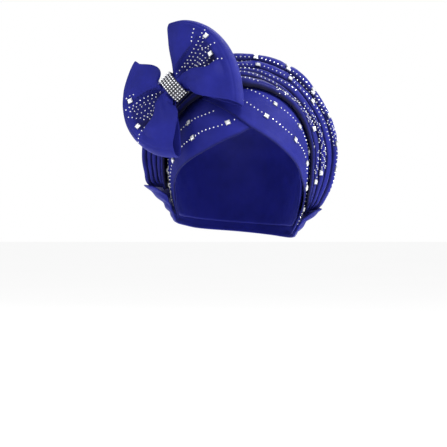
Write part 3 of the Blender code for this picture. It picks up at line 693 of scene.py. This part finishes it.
def knit(tree):
    """A smooth stretch knit: fine wales and courses, with painted shade in the valleys between stitches,
    soft mottling, a faint sheen, and painted shade that darkens the colour where the cloth lies between
    folds or in other shadow, as the piece's shade attribute says."""
    place = add_node(tree, "ShaderNodeUVMap", {"uv_map": "cloth"}).outputs["UV"]
    threads = [
        add_node(
            tree, "ShaderNodeTexWave", {"bands_direction": direction},
            Vector=place, Scale=scale, Distortion=0.6, Detail=1.0,
        ).outputs["Fac"]
        for direction, scale in (("X", WALE_SCALE), ("Y", COURSE_SCALE))
    ]
    crossing = add_node(tree, "ShaderNodeMath", {"operation": "MULTIPLY"}, n0=threads[0], n1=threads[1])
    stitches = crossing.outputs["Value"]
    ripple = spots_of(tree, RIPPLE_SCALE, 2.0)
    depth = add_node(tree, "ShaderNodeAttribute", {"attribute_name": "painted_shade"}).outputs["Fac"]
    mottle = ranged(tree, spots_of(tree, MOTTLE_SCALE, 3.0), KNIT_MOTTLE, NOISE_RANGE)
    # The stitch pattern multiplies the colour: the knit's own pattern, with painted shade in the valleys
    # between stitches
    woven = blend(tree, 1.0, blend(tree, mottle, *BLUE), ranged(tree, stitches, KNIT_STITCHES), "MULTIPLY")
    soft = bumps(tree, ripple, 0.5, 0.0006)
    return {
        # Painted shade: the colour is multiplied down to its darkest where the piece's shade attribute is 1
        "Base Color": blend(tree, 1.0, woven, ranged(tree, depth, (1.0, DARKEST_PAINTED_SHADE)), "MULTIPLY"),
        "Roughness": ranged(tree, ripple, KNIT_ROUGHNESS, NOISE_RANGE),
        "Normal": bumps(tree, stitches, 0.5, 0.00012, Normal=soft),
        "Specular IOR Level": 0.14,
        "Sheen Weight": 0.08,
        "Sheen Roughness": 0.35,
        "Sheen Tint": BLUE_SHEEN,
    }


def foiled_stone(tree):
    """A cut stone with a silvered back: bright, with faint differences from facet to facet."""
    spots = spots_of(tree, STONE_SCALE, 2.0)
    return {
        "Base Color": blend(tree, spots, *CRYSTAL),
        "Roughness": ranged(tree, spots, CRYSTAL_ROUGHNESS, NOISE_RANGE),
        "Metallic": 0.35,
        "Coat Weight": 1.0,
        "Coat Roughness": 0.04,
    }


def silver(tree, colours, roughness):
    """Plated metal with small duller spots."""
    spots = spots_of(tree, SILVER_SCALE, 3.0)
    return {
        "Base Color": blend(tree, spots, *colours),
        "Roughness": ranged(tree, spots, roughness, NOISE_RANGE),
        "Normal": bumps(tree, spots, 0.3, 0.00008),
        "Metallic": 1.0,
    }


def pale_floor(tree):
    """A matt floor with a faint unevenness."""
    return {
        "Base Color": blend(tree, spots_of(tree, FLOOR_SCALE, 2.0), *FLOOR),
        "Roughness": 0.9,
        "Specular IOR Level": 0.0,
        "Emission Color": WHITE,
        "Emission Strength": FLOOR_GLOW,
    }


# Cloth pieces


def cap(finish):
    """The plain cap, with slight gathers towards its rolled rim."""
    azimuth = 360 * np.linspace(0, 1, CAP_COLUMNS + 1)[:, None] - 180
    drops = np.concatenate([np.linspace(0.01, 0.985, CAP_RINGS), (0.990, 0.995, 1.0)])[None, ::-1]
    polar = form_polar(blended(CAP_RIM, azimuth)[0]) * drops
    gather = CAP_GATHER * clouds(azimuth / 5, drops * 3, 1) * smooth(0.35, 0.9, drops)
    middle = form_point(azimuth, polar, CAP_WALL / 2 + gather)
    thick = CAP_WALL * rim_thinning(0.5 + drops / 2, CAP_ROUNDING)
    return wall_piece("cap_cloth", middle, thick, finish, around=True)


def band_grid(rows, along, across, lift, seed):
    """A forehead band: a folded hem along the face edge and faint pulls along its length."""
    face_azimuth, face_drop, roll_azimuth, roll_drop = blended(numbered(rows), along)
    azimuth = mixed(face_azimuth, roll_azimuth, across)
    polar = mixed(form_polar(face_drop), form_polar(roll_drop), across)
    base = lift + BAND_WALL / 2
    hem = HEM_RISE * (1 - smooth(HEM_SHARE * 0.8, HEM_SHARE, across))
    pulls = PULL_HEIGHT * clouds(along * 7, across * 9 + along * 4, seed) * smooth(0.0, 0.2, across)
    return form_point(azimuth, polar, base + hem + np.clip(pulls, -HEM_RISE / 4, 1))


def forehead_band(name, rows, lift, seed, studs, finish):
    along, across, edges = rounded_grid(BAND_ROWS, BAND_COLUMNS, BAND_ROUNDING)
    if rows[0][0] > rows[-1][0]:
        across = across[:, ::-1]
    middle = band_grid(rows, along, across, lift, seed)
    outer = seated_cloth(middle + grid_normals(middle) * BAND_WALL / 2, studs)
    # Painted shade: a thin darker line along the face edge, a painted shadow at the hem
    shade = HEM_SHADE * (1 - smooth(0.0, HEM_SHADE_REACH, across))
    made = faced_piece(name, outer, BAND_WALL, edges, finish, shade)
    return made, face_of(along[:, 0], across[0], outer)


def halo_base(angle, across):
    """The smooth roll under the pleats, as reach and depth at an angle of the front view."""
    front, crest, rear, rise = blended(HALO, angle)
    front, crest, rear = (share * HEAD_LENGTH / 2 for share in (front, crest, rear))
    front_lift = WRAP_LIFT + HALO_WALL + FOOT_GAPS * LAYER_GAP
    rear_lift = CAP_LIFT + HALO_WALL + LAYER_GAP
    crest_reach = form_radius(angle, crest, 0.0) + rise * HALO_RISE
    before = np.clip(2 * across, 0, 1)
    behind = np.clip(2 * across - 1, 0, 1)
    depth = np.where(across < 0.5, mixed(front, crest, before), mixed(crest, rear, behind))
    rising = np.sin(math.pi / 2 * before) ** FRONT_CURVE
    front_reach = mixed(form_radius(angle, front, front_lift), crest_reach, rising)
    rear_reach = mixed(crest_reach, form_radius(angle, rear, rear_lift), behind**REAR_CURVE)
    reach = np.where(across < 0.5, front_reach, rear_reach)
    lift = np.where(across < 0.5, front_lift, mixed(front_lift, rear_lift, behind))
    return np.maximum(reach, form_radius(angle, depth, lift)), depth


def halo_surface(angle, across, rise):
    """Points of the roll's outer face, raised off the smooth roll along its own slope."""
    step = 0.01
    reach, depth = halo_base(angle, across)
    ahead = halo_base(angle, np.maximum(across - step, 0))
    behind = halo_base(angle, np.minimum(across + step, 1))
    out, back = behind[1] - ahead[1], ahead[0] - behind[0]
    length = np.hypot(out, back)
    reach = reach + out / length * rise
    depth = depth + back / length * rise
    turn = np.radians(angle)
    return stacked(reach * np.cos(turn), depth, reach * np.sin(turn) - CROWN_RISE)


def pleat_share(number):
    """The share of the way across the roll of places given in pleats from the front."""
    widths = np.array([width for width, height in PLEATS])
    edges = np.concatenate([[0.0], widths.cumsum()]) / widths.sum()
    return np.interp(number, np.arange(len(edges)), edges)


def halo_grid(angle, number):
    """The pleated roll at angles and places in pleats: round folds with sharp creases, which wander."""
    whole = np.clip(np.floor(number), 0, len(PLEATS) - 1)
    within = number - whole
    inside = smooth(0.0, 1.0, number) * smooth(0.0, 1.0, len(PLEATS) - number)
    wander = PLEAT_WANDER * clouds(angle / WANDER_SPAN, number / WANDER_PLEATS, 3) * inside
    front, _, rear, rise = blended(HALO, angle)
    size = (rear - front) / FULL_SPAN * np.clip(rise / FULL_PLEAT_RISE, 0, 1)
    heights = np.array([height for width, height in PLEATS])[whole.astype(int)]
    round_fold = (1 - np.abs(2 * within - 1) ** PLEAT_ROUND) ** PLEAT_EDGE
    uneven = 1 + PLEAT_UNEVEN * clouds(angle / UNEVEN_SPAN, whole * UNEVEN_STEP, 5)
    folded = PLEAT_HEIGHT * heights * uneven * round_fold
    crease_at = CREASE_PLACE + CREASE_SWING * np.sin(angle / CREASE_SPAN + whole * 2)
    small = SMALL_CREASE * bump(within, crease_at, CREASE_SPREAD)
    small = small * smooth(0.0, 0.5, clouds(angle / SMALL_SPAN, whole * SMALL_STEP, 8))
    creased = CREASE_DEPTH * (1 - smooth(0.0, CREASE_SHARE, np.minimum(within, 1 - within)))
    ripples = RIPPLE_HEIGHT * clouds(angle / RIPPLE_SPAN, number * RIPPLE_STEP, 9)
    tuck = FOOT_TUCK * (1 - smooth(0.0, 0.35, number))
    rise = size * (folded - small - creased * inside + ripples) - tuck
    across = np.clip(pleat_share(number + wander), 0, 1)
    return halo_surface(angle, across, rise)


def halo_shade(number):
    """Painted shade for each place of the roll: how deep it lies between its pleats, and how near its front
    foot, where shadow falls.
    """
    near = np.abs(number - np.round(number))
    # Painted shade in the creases between pleats, and towards the front foot next to the bands
    creases = CREASE_SHADE * (1 - smooth(0.0, CREASE_SHADE_REACH, near)) ** CREASE_SHADE_POWER
    return np.clip(creases + FOOT_SHADE * (1 - smooth(0.0, FOOT_SHADE_PLEATS, number)), 0, 1)


def pleated_halo(finish):
    """The roll, with closer rows towards its two ends."""
    even = np.linspace(0, 1, HALO_ROWS)
    eased = (1 - np.cos(math.pi * even)) / 2
    angles = mixed(HALO[0][0], HALO[-1][0], mixed(even, eased, HALO_END_EASE))[:, None]
    count = len(PLEATS)
    number = np.linspace(count, 0, count * HALO_STEPS + 1)[None, :]
    outer = seated_cloth(halo_grid(angles, number), "halo")
    made = faced_piece("pleated_halo_cloth", outer, HALO_WALL, 1.0, finish, halo_shade(number))
    return made, face_of(angles[:, 0], number[0], outer)


def nape_grid(azimuth, rise):
    """The nape band: it flares out towards its upper edge, with long folds where it is gathered."""
    upper, lower, flare, seat = blended(NAPE_BAND, azimuth)
    polar = mixed(form_polar(lower), form_polar(upper), rise)
    lift = mixed(CAP_LIFT + LAYER_GAP, WRAP_LIFT, np.clip(seat, 0, 1)) + NAPE_WALL / 2
    gathered = np.clip(flare * 1.6 + 0.15, 0, 1)
    bend = NAPE_FOLD_BEND * clouds(azimuth / 20, rise * 2, 11)
    folds = NAPE_FOLD * (0.5 + 0.5 * np.sin(rise * NAPE_FOLD_TURN + bend))
    lift = lift + folds * gathered * smooth(0.05, 0.25, rise) * smooth(0.0, 0.15, 1 - rise)
    point = form_point(azimuth, polar, lift)
    around = np.radians(azimuth)
    outward = stacked(np.sin(around), -np.cos(around), 0.0 * around)
    return point + outward * (NAPE_FLARE * flare * rise**NAPE_CURVE)[..., None]


def nape_band(finish):
    turns, rise, edges = rounded_grid(NAPE_ROWS, NAPE_COLUMNS, NAPE_ROUNDING)
    azimuth = mixed(NAPE_BAND[0][0], NAPE_BAND[-1][0], turns)
    middle = nape_grid(azimuth, rise)
    return wall_piece("nape_band_cloth", middle[:, ::-1], NAPE_WALL * edges, finish)


# Bow


def bow_place():
    """The move from the bow's own axes to the frame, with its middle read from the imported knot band."""
    front = BOW_TILT.normalized()
    slope = math.radians(BOW_SLOPE)
    along = Vector((math.cos(slope), 0.0, math.sin(slope)))
    along.y = -along.dot(front) / front.y
    along.normalize()
    axes = np.array((along, front.cross(along), front))
    points = np.array([vertex.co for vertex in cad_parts["bow_knot_band"].data.vertices])
    spans = points @ axes.T
    low, high = spans.min(axis=0), spans.max(axis=0)
    half_depth = PINCH_DEPTH / 2 + KNOT_FRONT_CLEARANCE * (KNOT_CLEARANCE + KNOT_WALL)
    middle = np.array(((low[0] + high[0]) / 2, (low[1] + high[1]) / 2, low[2] + half_depth))
    return axes, middle @ axes


def loop_layer(shape, across, out, front):
    """One layer of a loop at shares of its way out: places along and across the bow, half depth, height
    of its folds, share past the pinch, and the way aside. Only the front layer's sides bow out."""
    angle, reach_share, bulge = blended(shape["loop"], across)
    reach = reach_share * LOOP_REACH - LOOP_DEPTH / 2
    turn = np.radians(angle)
    start_x, start_y = KNOT_LENGTH / 2 + KNOT_CLEARANCE, across * PINCH_WIDTH / 2
    end_x, end_y = reach * np.cos(turn), reach * np.sin(turn)
    pinch_half = PINCH_DEPTH / 2 * (1 - PINCH_THINNING * across**2)
    share = np.clip((out - ENTRY_SHARE) / (1 - ENTRY_SHARE), 0, 1)
    length = np.hypot(end_x - start_x, end_y - start_y)
    side_x, side_y = -(end_y - start_y) / length, (end_x - start_x) / length
    past_knot = np.maximum(0.0, (share - BOW_OUT_FROM) / (1 - BOW_OUT_FROM))
    bowed = bulge * LOOP_REACH * np.sin(math.pi * past_knot**BOW_OUT_POWER) * front
    x = mixed(start_x, end_x, share) + side_x * bowed
    y = mixed(start_y, end_y, share) + side_y * bowed
    inner = out < ENTRY_SHARE
    x = np.where(inner, mixed(LAYER_GAP, start_x, out / ENTRY_SHARE), x)
    y = np.where(inner, start_y, y)
    opened = smooth(0.0, OPENED_BY, share)
    half = mixed(pinch_half, LOOP_DEPTH / 2 * (1 - OPEN_THINNING * across**2), opened)
    fading = LOOP_FOLD_HEIGHT * 2 * np.sqrt(share) * (1 - share)
    return x, y, half, fading, share, (side_x, side_y)


def loop_grid(shape, along, across):
    """A loop's outer face and its painted shade between folds: darker colour in the valley, along the crease
    and in the hollow by the rolled edge. Along runs from the knot over the front (-1), round the outer fold
    (0) and back behind (1). The panel's rolled edge, the crease and small pulls lie on its front."""
    front = along < 0
    turned = np.abs(along) <= FOLD_SHARE
    out = np.where(turned, 1.0, 1 - (np.abs(along) - FOLD_SHARE) / (1 - FOLD_SHARE))
    x, y, half, fading, share, side = loop_layer(shape, across, out, front)
    fold = blended(shape["folds"], across)[0] * fading
    facing = np.where(front, -1, 1)
    flat_height = -facing * half + fold * np.where(front, 1.0, BACK_FOLD_SHARE)
    angle = np.radians(blended(shape["loop"], across)[0])
    turn = np.radians(90) * np.clip(along / FOLD_SHARE, -1, 1)
    bulb = np.where(turned, LOOP_DEPTH / 2 * np.cos(turn), 0.0)
    height = np.where(turned, -half * np.sin(turn), flat_height)
    shown = np.where(front, 1 - smooth(FRONT_END, 0.0, along), 0.0)
    edge_at, edge_force = blended(shape["roll"], share)
    aside = (across - edge_at) / ROLL_WIDTH
    force = edge_force * shown
    shift = ROLL_REACH * bump(aside, *ROLL_PUSH) * force
    rolled = bump(aside, *ROLL_CREST) - ROLL_HOLLOW_DEPTH * bump(aside, *ROLL_HOLLOW)
    height += ROLL_HEIGHT * rolled * force
    crease_at = blended(shape["crease"], share)[0]
    sharp = np.exp(-np.abs(across - crease_at) / CREASE_WIDTH)
    running = shown * smooth(0.0, 0.2, share) * (1 - smooth(0.9, 1.0, share))
    height += CREASE_HEIGHT * sharp * running
    between = smooth(0.0, VALLEY_EDGE, across - edge_at) * smooth(0.0, VALLEY_EDGE, crease_at - across)
    height -= VALLEY_DEPTH * between * running
    fan = clouds(across * 7, share * 1.5 + facing * 3.0, shape["seed"])
    height += PULL_RISE * fan * smooth(0.0, 0.25, share) * (1 - 0.6 * share)
    seam = bump(np.abs(along), FOLD_SHARE * SEAM_PLACE, SEAM_WIDTH)
    height += facing * SEAM_DEPTH * seam
    # Painted shade: darker colour in the valley, along the sharp crease and in the hollow by the rolled edge
    beside = bump(aside, *ROLL_HOLLOW_SHADE) * force
    shade = VALLEY_SHADE * between * running + SHARP_SHADE * sharp * running + ROLL_SHADE * beside
    x = x + np.cos(angle) * bulb + side[0] * shift
    y = y + np.sin(angle) * bulb + side[1] * shift
    return stacked(shape["side"] * x, y, height), np.clip(shade, 0, 1)


def bow_loop(shape, finish):
    along, across, edges = rounded_grid(LOOP_ROWS, LOOP_COLUMNS, LOOP_ROUNDING)
    along, across = along * 2 - 1, (across * 2 - 1) * shape["side"]
    axes, middle = BOW
    points, shade = loop_grid(shape, along, across)
    outer = seated_cloth(points @ axes + middle, shape["studs"])
    made = faced_piece(shape["name"], outer, LOOP_WALL, edges, finish, shade)
    return made, face_of(along[:, 0], across[0], outer)


# Square studs of the frame


def stud_facts(name):
    """A square stud's back: its middle, outward normal and one side's direction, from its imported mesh."""
    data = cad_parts[name].data
    largest = max(face.area for face in data.polygons)
    backs = [face for face in data.polygons if face.area > 0.99 * largest]
    corners = {tuple(round(c, 7) for c in data.vertices[i].co) for face in backs for i in face.vertices}
    corners = [Vector(corner) for corner in sorted(corners)]
    middle = sum(corners, Vector()) / len(corners)
    normal = -backs[0].normal
    near = sorted(corners[1:], key=lambda corner: (corner - corners[0]).length)[0]
    return middle, normal, (near - corners[0]).normalized()


def studs_of(carrier):
    names = [name for name in sorted(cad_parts) if name.startswith("stud_" + carrier)]
    return [stud_facts(name) for name in names]


def seated_cloth(points, carrier):
    """The cloth raised or pressed round each square stud so that it meets the stud's back."""
    for middle, normal, _ in studs_of(carrier):
        away = points - np.array(middle)
        height = away @ np.array(normal)
        aside = np.linalg.norm(away - height[..., None] * np.array(normal), axis=-1)
        facing = grid_normals(points) @ np.array(normal) > SEAT_FACING
        near = (aside < STUD_SIDE * SEAT_REACH) & (np.abs(height) < SEAT_DEPTH) & facing
        if not near.any():
            continue
        move = -height[near].max() - STUD_SINK
        from_side, to_side = (share * STUD_SIDE for share in SEAT_EASE)
        weight = (1 - smooth(from_side, to_side, aside)) * facing * (np.abs(height) < SEAT_EASE_DEPTH)
        points = points + (weight * move)[..., None] * np.array(normal)
    return points


# Round studs, settings and the knot's stones


def face_of(along, across, outer):
    """What a row of studs needs of a cloth: its outer points and normals at places along and across."""
    normals = grid_normals(outer)
    if across[0] > across[-1]:
        across, outer, normals = across[::-1], outer[:, ::-1], normals[:, ::-1]
    return {"along": along, "across": across, "points": outer, "normals": normals}


def on_face(face, along, across):
    """Points and normals of a face at arrays of places."""
    row = np.interp(along, face["along"], np.arange(len(face["along"])))
    column = np.interp(across, face["across"], np.arange(len(face["across"])))
    i = np.minimum(row.astype(int), len(face["along"]) - 2)
    j = np.minimum(column.astype(int), len(face["across"]) - 2)
    u, v = (row - i)[:, None], (column - j)[:, None]

    def within(grid):
        near = mixed(grid[i, j], grid[i, j + 1], v)
        far = mixed(grid[i + 1, j], grid[i + 1, j + 1], v)
        return mixed(near, far, u)

    normals = within(face["normals"])
    return within(face["points"]), normals / np.linalg.norm(normals, axis=-1, keepdims=True)


def row_places(face, places, pitch, swing):
    """Points and normals along a row through the places, evenly spaced, and aside of it within the swing."""
    steps = np.linspace(0, len(places) - 1, ROW_SAMPLES * (len(places) - 1))
    knots = np.arange(len(places))
    along = np.interp(steps, knots, [place[0] for place in places])
    across = np.interp(steps, knots, [place[1] for place in places])
    points, _ = on_face(face, along, across)
    lengths = np.concatenate([[0.0], np.linalg.norm(np.diff(points, axis=0), axis=-1).cumsum()])
    stops = np.arange(pitch / 2, lengths[-1], pitch)
    aside = swing * np.random.default_rng(len(stops)).uniform(-1, 1, len(stops))
    return on_face(face, np.interp(stops, lengths, along), np.interp(stops, lengths, across) + aside)


def axes_on(side, normal):
    """Axes as the columns of a matrix, from a side's direction and the normal."""
    return Matrix((side, normal.cross(side), normal)).transposed()


def turned_to(normal, turn):
    """Axes whose third follows the normal, turned about it."""
    side = Vector((0.0, 0.0, 1.0)).cross(normal)
    side = side.normalized() if side.length > 0.01 else Vector((1.0, 0.0, 0.0))
    return axes_on(side, normal) @ Matrix.Rotation(turn, 3, "Z")


def skin(mesh, rings):
    """Faces between each ring of points and the next."""
    for lower, upper in zip(rings, rings[1:]):
        for i in range(len(lower)):
            k = (i + 1) % len(lower)
            mesh.faces.new((lower[i], lower[k], upper[k], upper[i]))


def domed_stone(mesh, place, axes, size, height, turn=0.0):
    """A round cut stone: a low girdle, a ring of slanting facets and a flat table."""
    rings = []
    for share, rise in STONE_PROFILE:
        ring = []
        for i in range(ROUND_SIDES):
            around = 2 * math.pi * i / ROUND_SIDES + turn
            x, y = math.cos(around) * share * size / 2, math.sin(around) * share * size / 2
            ring.append(mesh.verts.new(place + axes @ Vector((x, y, rise * height))))
        rings.append(ring)
    skin(mesh, rings)
    mesh.faces.new(rings[-1])
    mesh.faces.new(rings[0][::-1])


def meshed(name, mesh, finish):
    data = bpy.data.meshes.new(name)
    mesh.to_mesh(data)
    mesh.free()
    data.materials.append(finish)
    return placed(name, data)


def round_studs(carrier, face, finish):
    """All the round studs of one carrier as one piece, left out where a square stud lies."""
    mesh = bmesh.new()
    squares = np.array([middle for middle, _, _ in studs_of(carrier)])
    taken = np.zeros((0, 3))
    count = 0
    rows = [(places, ROUND_PITCH, ROUND_SIZE, 0.0) for places in ROUND_ROWS[carrier]]
    for places in DENSE_ROWS.get(carrier, ()):
        rows.append((places, DENSE_PITCH, DENSE_SIZE, DENSE_SWING[carrier]))
    for places, pitch, size, swing in rows:
        for point, normal in zip(*row_places(face, places, pitch, swing)):
            if np.linalg.norm(squares - point, axis=-1).min() < CLEAR_OF_SQUARES:
                continue
            if len(taken) and np.linalg.norm(taken - point, axis=-1).min() < size * 1.2:
                continue
            taken = np.vstack([taken, point])
            normal = Vector(normal)
            count += 1
            domed_stone(mesh, Vector(point), turned_to(normal, count * 0.7), size, ROUND_HEIGHT)
    return meshed("round_studs_" + carrier, mesh, finish)


def stud_cups(carrier, finish):
    """A thin square silver setting round each square stud's foot."""
    mesh = bmesh.new()
    for middle, normal, side in studs_of(carrier):
        axes = axes_on(side, normal)
        rings = []
        for out, rise in CUP_PROFILE:
            half = STUD_SIDE / 2 + CUP_WALL * out
            corners = ((-half, -half), (half, -half), (half, half), (-half, half))
            local = [Vector((x, y, CUP_HEIGHT * rise)) for x, y in corners]
            rings.append([mesh.verts.new(middle + axes @ corner) for corner in local])
        skin(mesh, rings + rings[:1])
    bmesh.ops.recalc_face_normals(mesh, faces=mesh.faces)
    return meshed("stud_cups_" + carrier, mesh, finish)


def knot_outline(clearance, places):
    """Points of the knot band's ring, evenly spaced, across the bow and out of it."""
    turn = np.linspace(0, 2 * math.pi, RING_SAMPLES)
    power = 2 / KNOT_POWER
    half_width = PINCH_WIDTH / 2 + clearance
    half_depth = PINCH_DEPTH / 2 + KNOT_FRONT_CLEARANCE * clearance
    aside = half_width * np.sign(np.cos(turn)) * np.abs(np.cos(turn)) ** power
    out = half_depth * np.sign(np.sin(turn)) * np.abs(np.sin(turn)) ** power
    lengths = np.concatenate([[0.0], np.hypot(np.diff(aside), np.diff(out)).cumsum()])
    stops = places * lengths[-1]
    return np.interp(stops, lengths, aside), np.interp(stops, lengths, out), lengths[-1]


def knot_net(finish):
    """The metal net of the knot, a band that closes round the pinched middle."""
    aside, out, _ = knot_outline(KNOT_CLEARANCE + KNOT_WALL / 2, np.linspace(0, 1, NET_ROWS + 1))
    across = edge_stops(NET_COLUMNS, NET_ROUNDING)[None, :]
    spread = KNOT_LENGTH * (across - 0.5)
    local = stacked(spread, aside[:, None], out[:, None])
    axes, middle = BOW
    thick = KNOT_WALL * rim_thinning(across, NET_ROUNDING)
    return wall_piece("bow_knot_net", local @ axes + middle, thick, finish, around=True)


def knot_stones(cup_finish, stone_finish):
    """Rows of round cut stones on the knot's front, each in a round silver cup."""
    axes, middle = BOW
    _, _, length = knot_outline(KNOT_CLEARANCE + KNOT_WALL, np.array([0.0]))
    rows, columns = round(length / STONE_PITCH), round(KNOT_LENGTH / STONE_PITCH)
    places = (np.arange(rows) + 0.5) / rows
    aside, out, _ = knot_outline(KNOT_CLEARANCE + KNOT_WALL, places)
    ahead_aside, ahead_out, _ = knot_outline(KNOT_CLEARANCE + KNOT_WALL, places + 0.001)
    cups, stones = bmesh.new(), bmesh.new()
    for i in range(rows):
        if out[i] < STONES_FROM * PINCH_DEPTH:
            continue
        onward = np.array((0.0, ahead_aside[i] - aside[i], ahead_out[i] - out[i]))
        along = Vector(axes[0])
        normal = Vector(onward @ axes).normalized().cross(along).normalized()
        turned = axes_on(along, normal)
        for j in range(columns):
            local = np.array((KNOT_LENGTH * ((j + 0.5) / columns - 0.5), aside[i], out[i]))
            place = Vector(local @ axes + middle)
            domed_stone(cups, place, turned, KNOT_CUP, STONE_HEIGHT * KNOT_CUP_HEIGHT, math.pi / ROUND_SIDES)
            place += normal * STONE_HEIGHT * KNOT_STONE_FOOT
            domed_stone(stones, place, turned, KNOT_STONE, STONE_HEIGHT * KNOT_STONE_HEIGHT)
    return meshed("bow_knot_cups", cups, cup_finish), meshed("bow_knot_stones", stones, stone_finish)


# Floor, lights and camera


def floor():
    data = bpy.data.meshes.new("floor")
    half = FLOOR_SIZE / 2
    corners = [(x * half, y * half, FLOOR_Z) for x, y in ((-1, -1), (1, -1), (1, 1), (-1, 1))]
    data.from_pydata(corners, [], [(0, 1, 2, 3)])
    data.materials.append(finish_of("pale_floor", pale_floor))
    made = placed("floor", data)


def area_light(name, place, size, power):
    data = bpy.data.lights.new(name, "AREA")
    data.shape = "DISK"
    data.size = size
    data.energy = power
    made = placed(name, data)
    made.location = place
    made.rotation_euler = (Vector(LIGHT_AIM) - Vector(place)).to_track_quat("-Z", "Y").to_euler()


def pale_room():
    """A room that the camera sees white, and that lights the wrap less than that."""
    world = bpy.data.worlds.new("pale_room")
    world.use_nodes = True
    tree = world.node_tree
    seen = add_node(tree, "ShaderNodeLightPath").outputs["Is Camera Ray"]
    feed(tree, tree.nodes["Background"], {"Color": WHITE, "Strength": ranged(tree, seen, (ROOM_LIGHT, 1.0))})
    bpy.context.scene.world = world


def camera():
    data = bpy.data.cameras.new("camera")
    data.sensor_width = SENSOR
    data.lens = SENSOR * CAMERA_REACH / FRAME_WIDTH
    made = placed("camera", data)
    made.location = CAMERA_PLACE
    made.rotation_euler = (math.radians(90), 0.0, 0.0)
    bpy.context.scene.camera = made


def dress(made, node):
    """The piece rides on the wrap and stands for its CAD node, which is hidden."""
    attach(made, "root")
    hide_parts(node)


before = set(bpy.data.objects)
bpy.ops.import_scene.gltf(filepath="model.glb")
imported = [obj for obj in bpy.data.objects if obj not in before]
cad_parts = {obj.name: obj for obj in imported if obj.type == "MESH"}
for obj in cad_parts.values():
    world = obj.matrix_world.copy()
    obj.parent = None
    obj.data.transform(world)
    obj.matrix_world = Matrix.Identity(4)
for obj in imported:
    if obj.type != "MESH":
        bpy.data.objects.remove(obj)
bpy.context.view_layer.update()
BOW = bow_place()

blue = finish_of("royal_blue_knit", knit)
crystal = finish_of("cut_crystal", foiled_stone)
setting = finish_of("silver_setting", silver, SETTING, SETTING_ROUGHNESS)
net = finish_of("dark_silver_net", silver, NET, NET_ROUGHNESS)

cap_cloth = cap(blue)
under_cloth, under_face = forehead_band("front_band_under_cloth", UNDER_BAND, UNDER_LIFT, 13, "under", blue)
over_cloth, over_face = forehead_band("front_band_over_cloth", OVER_BAND, OVER_LIFT, 17, "over", blue)
halo_cloth, halo_face = pleated_halo(blue)
nape_cloth = nape_band(blue)
upper_cloth, upper_face = bow_loop(UPPER, blue)
lower_cloth, lower_face = bow_loop(LOWER, blue)
knot_ring = knot_net(net)
knot_cups, knot_gems = knot_stones(net, crystal)

dress(cap_cloth, "cap")
dress(under_cloth, "front_band_under")
dress(over_cloth, "front_band_over")
dress(halo_cloth, "pleated_halo")
dress(nape_cloth, "nape_band")
dress(upper_cloth, "bow_loop_upper")
dress(lower_cloth, "bow_loop_lower")
dress(knot_ring, "bow_knot_band")

faces = {
    "under": under_face,
    "over": over_face,
    "halo": halo_face,
    "upper": upper_face,
    "lower": lower_face,
}
trimmings = [knot_cups, knot_gems]
for carrier, face in faces.items():
    trimmings += [round_studs(carrier, face, crystal), stud_cups(carrier, setting)]
for made in trimmings:
    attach(made, "root")
for name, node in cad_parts.items():
    if name.startswith("stud_"):
        node.data.materials.clear()
        node.data.materials.append(crystal)

floor()
for light in LIGHTS:
    area_light(*light)
pale_room()
camera()
bpy.context.scene.view_settings.view_transform = "Standard"
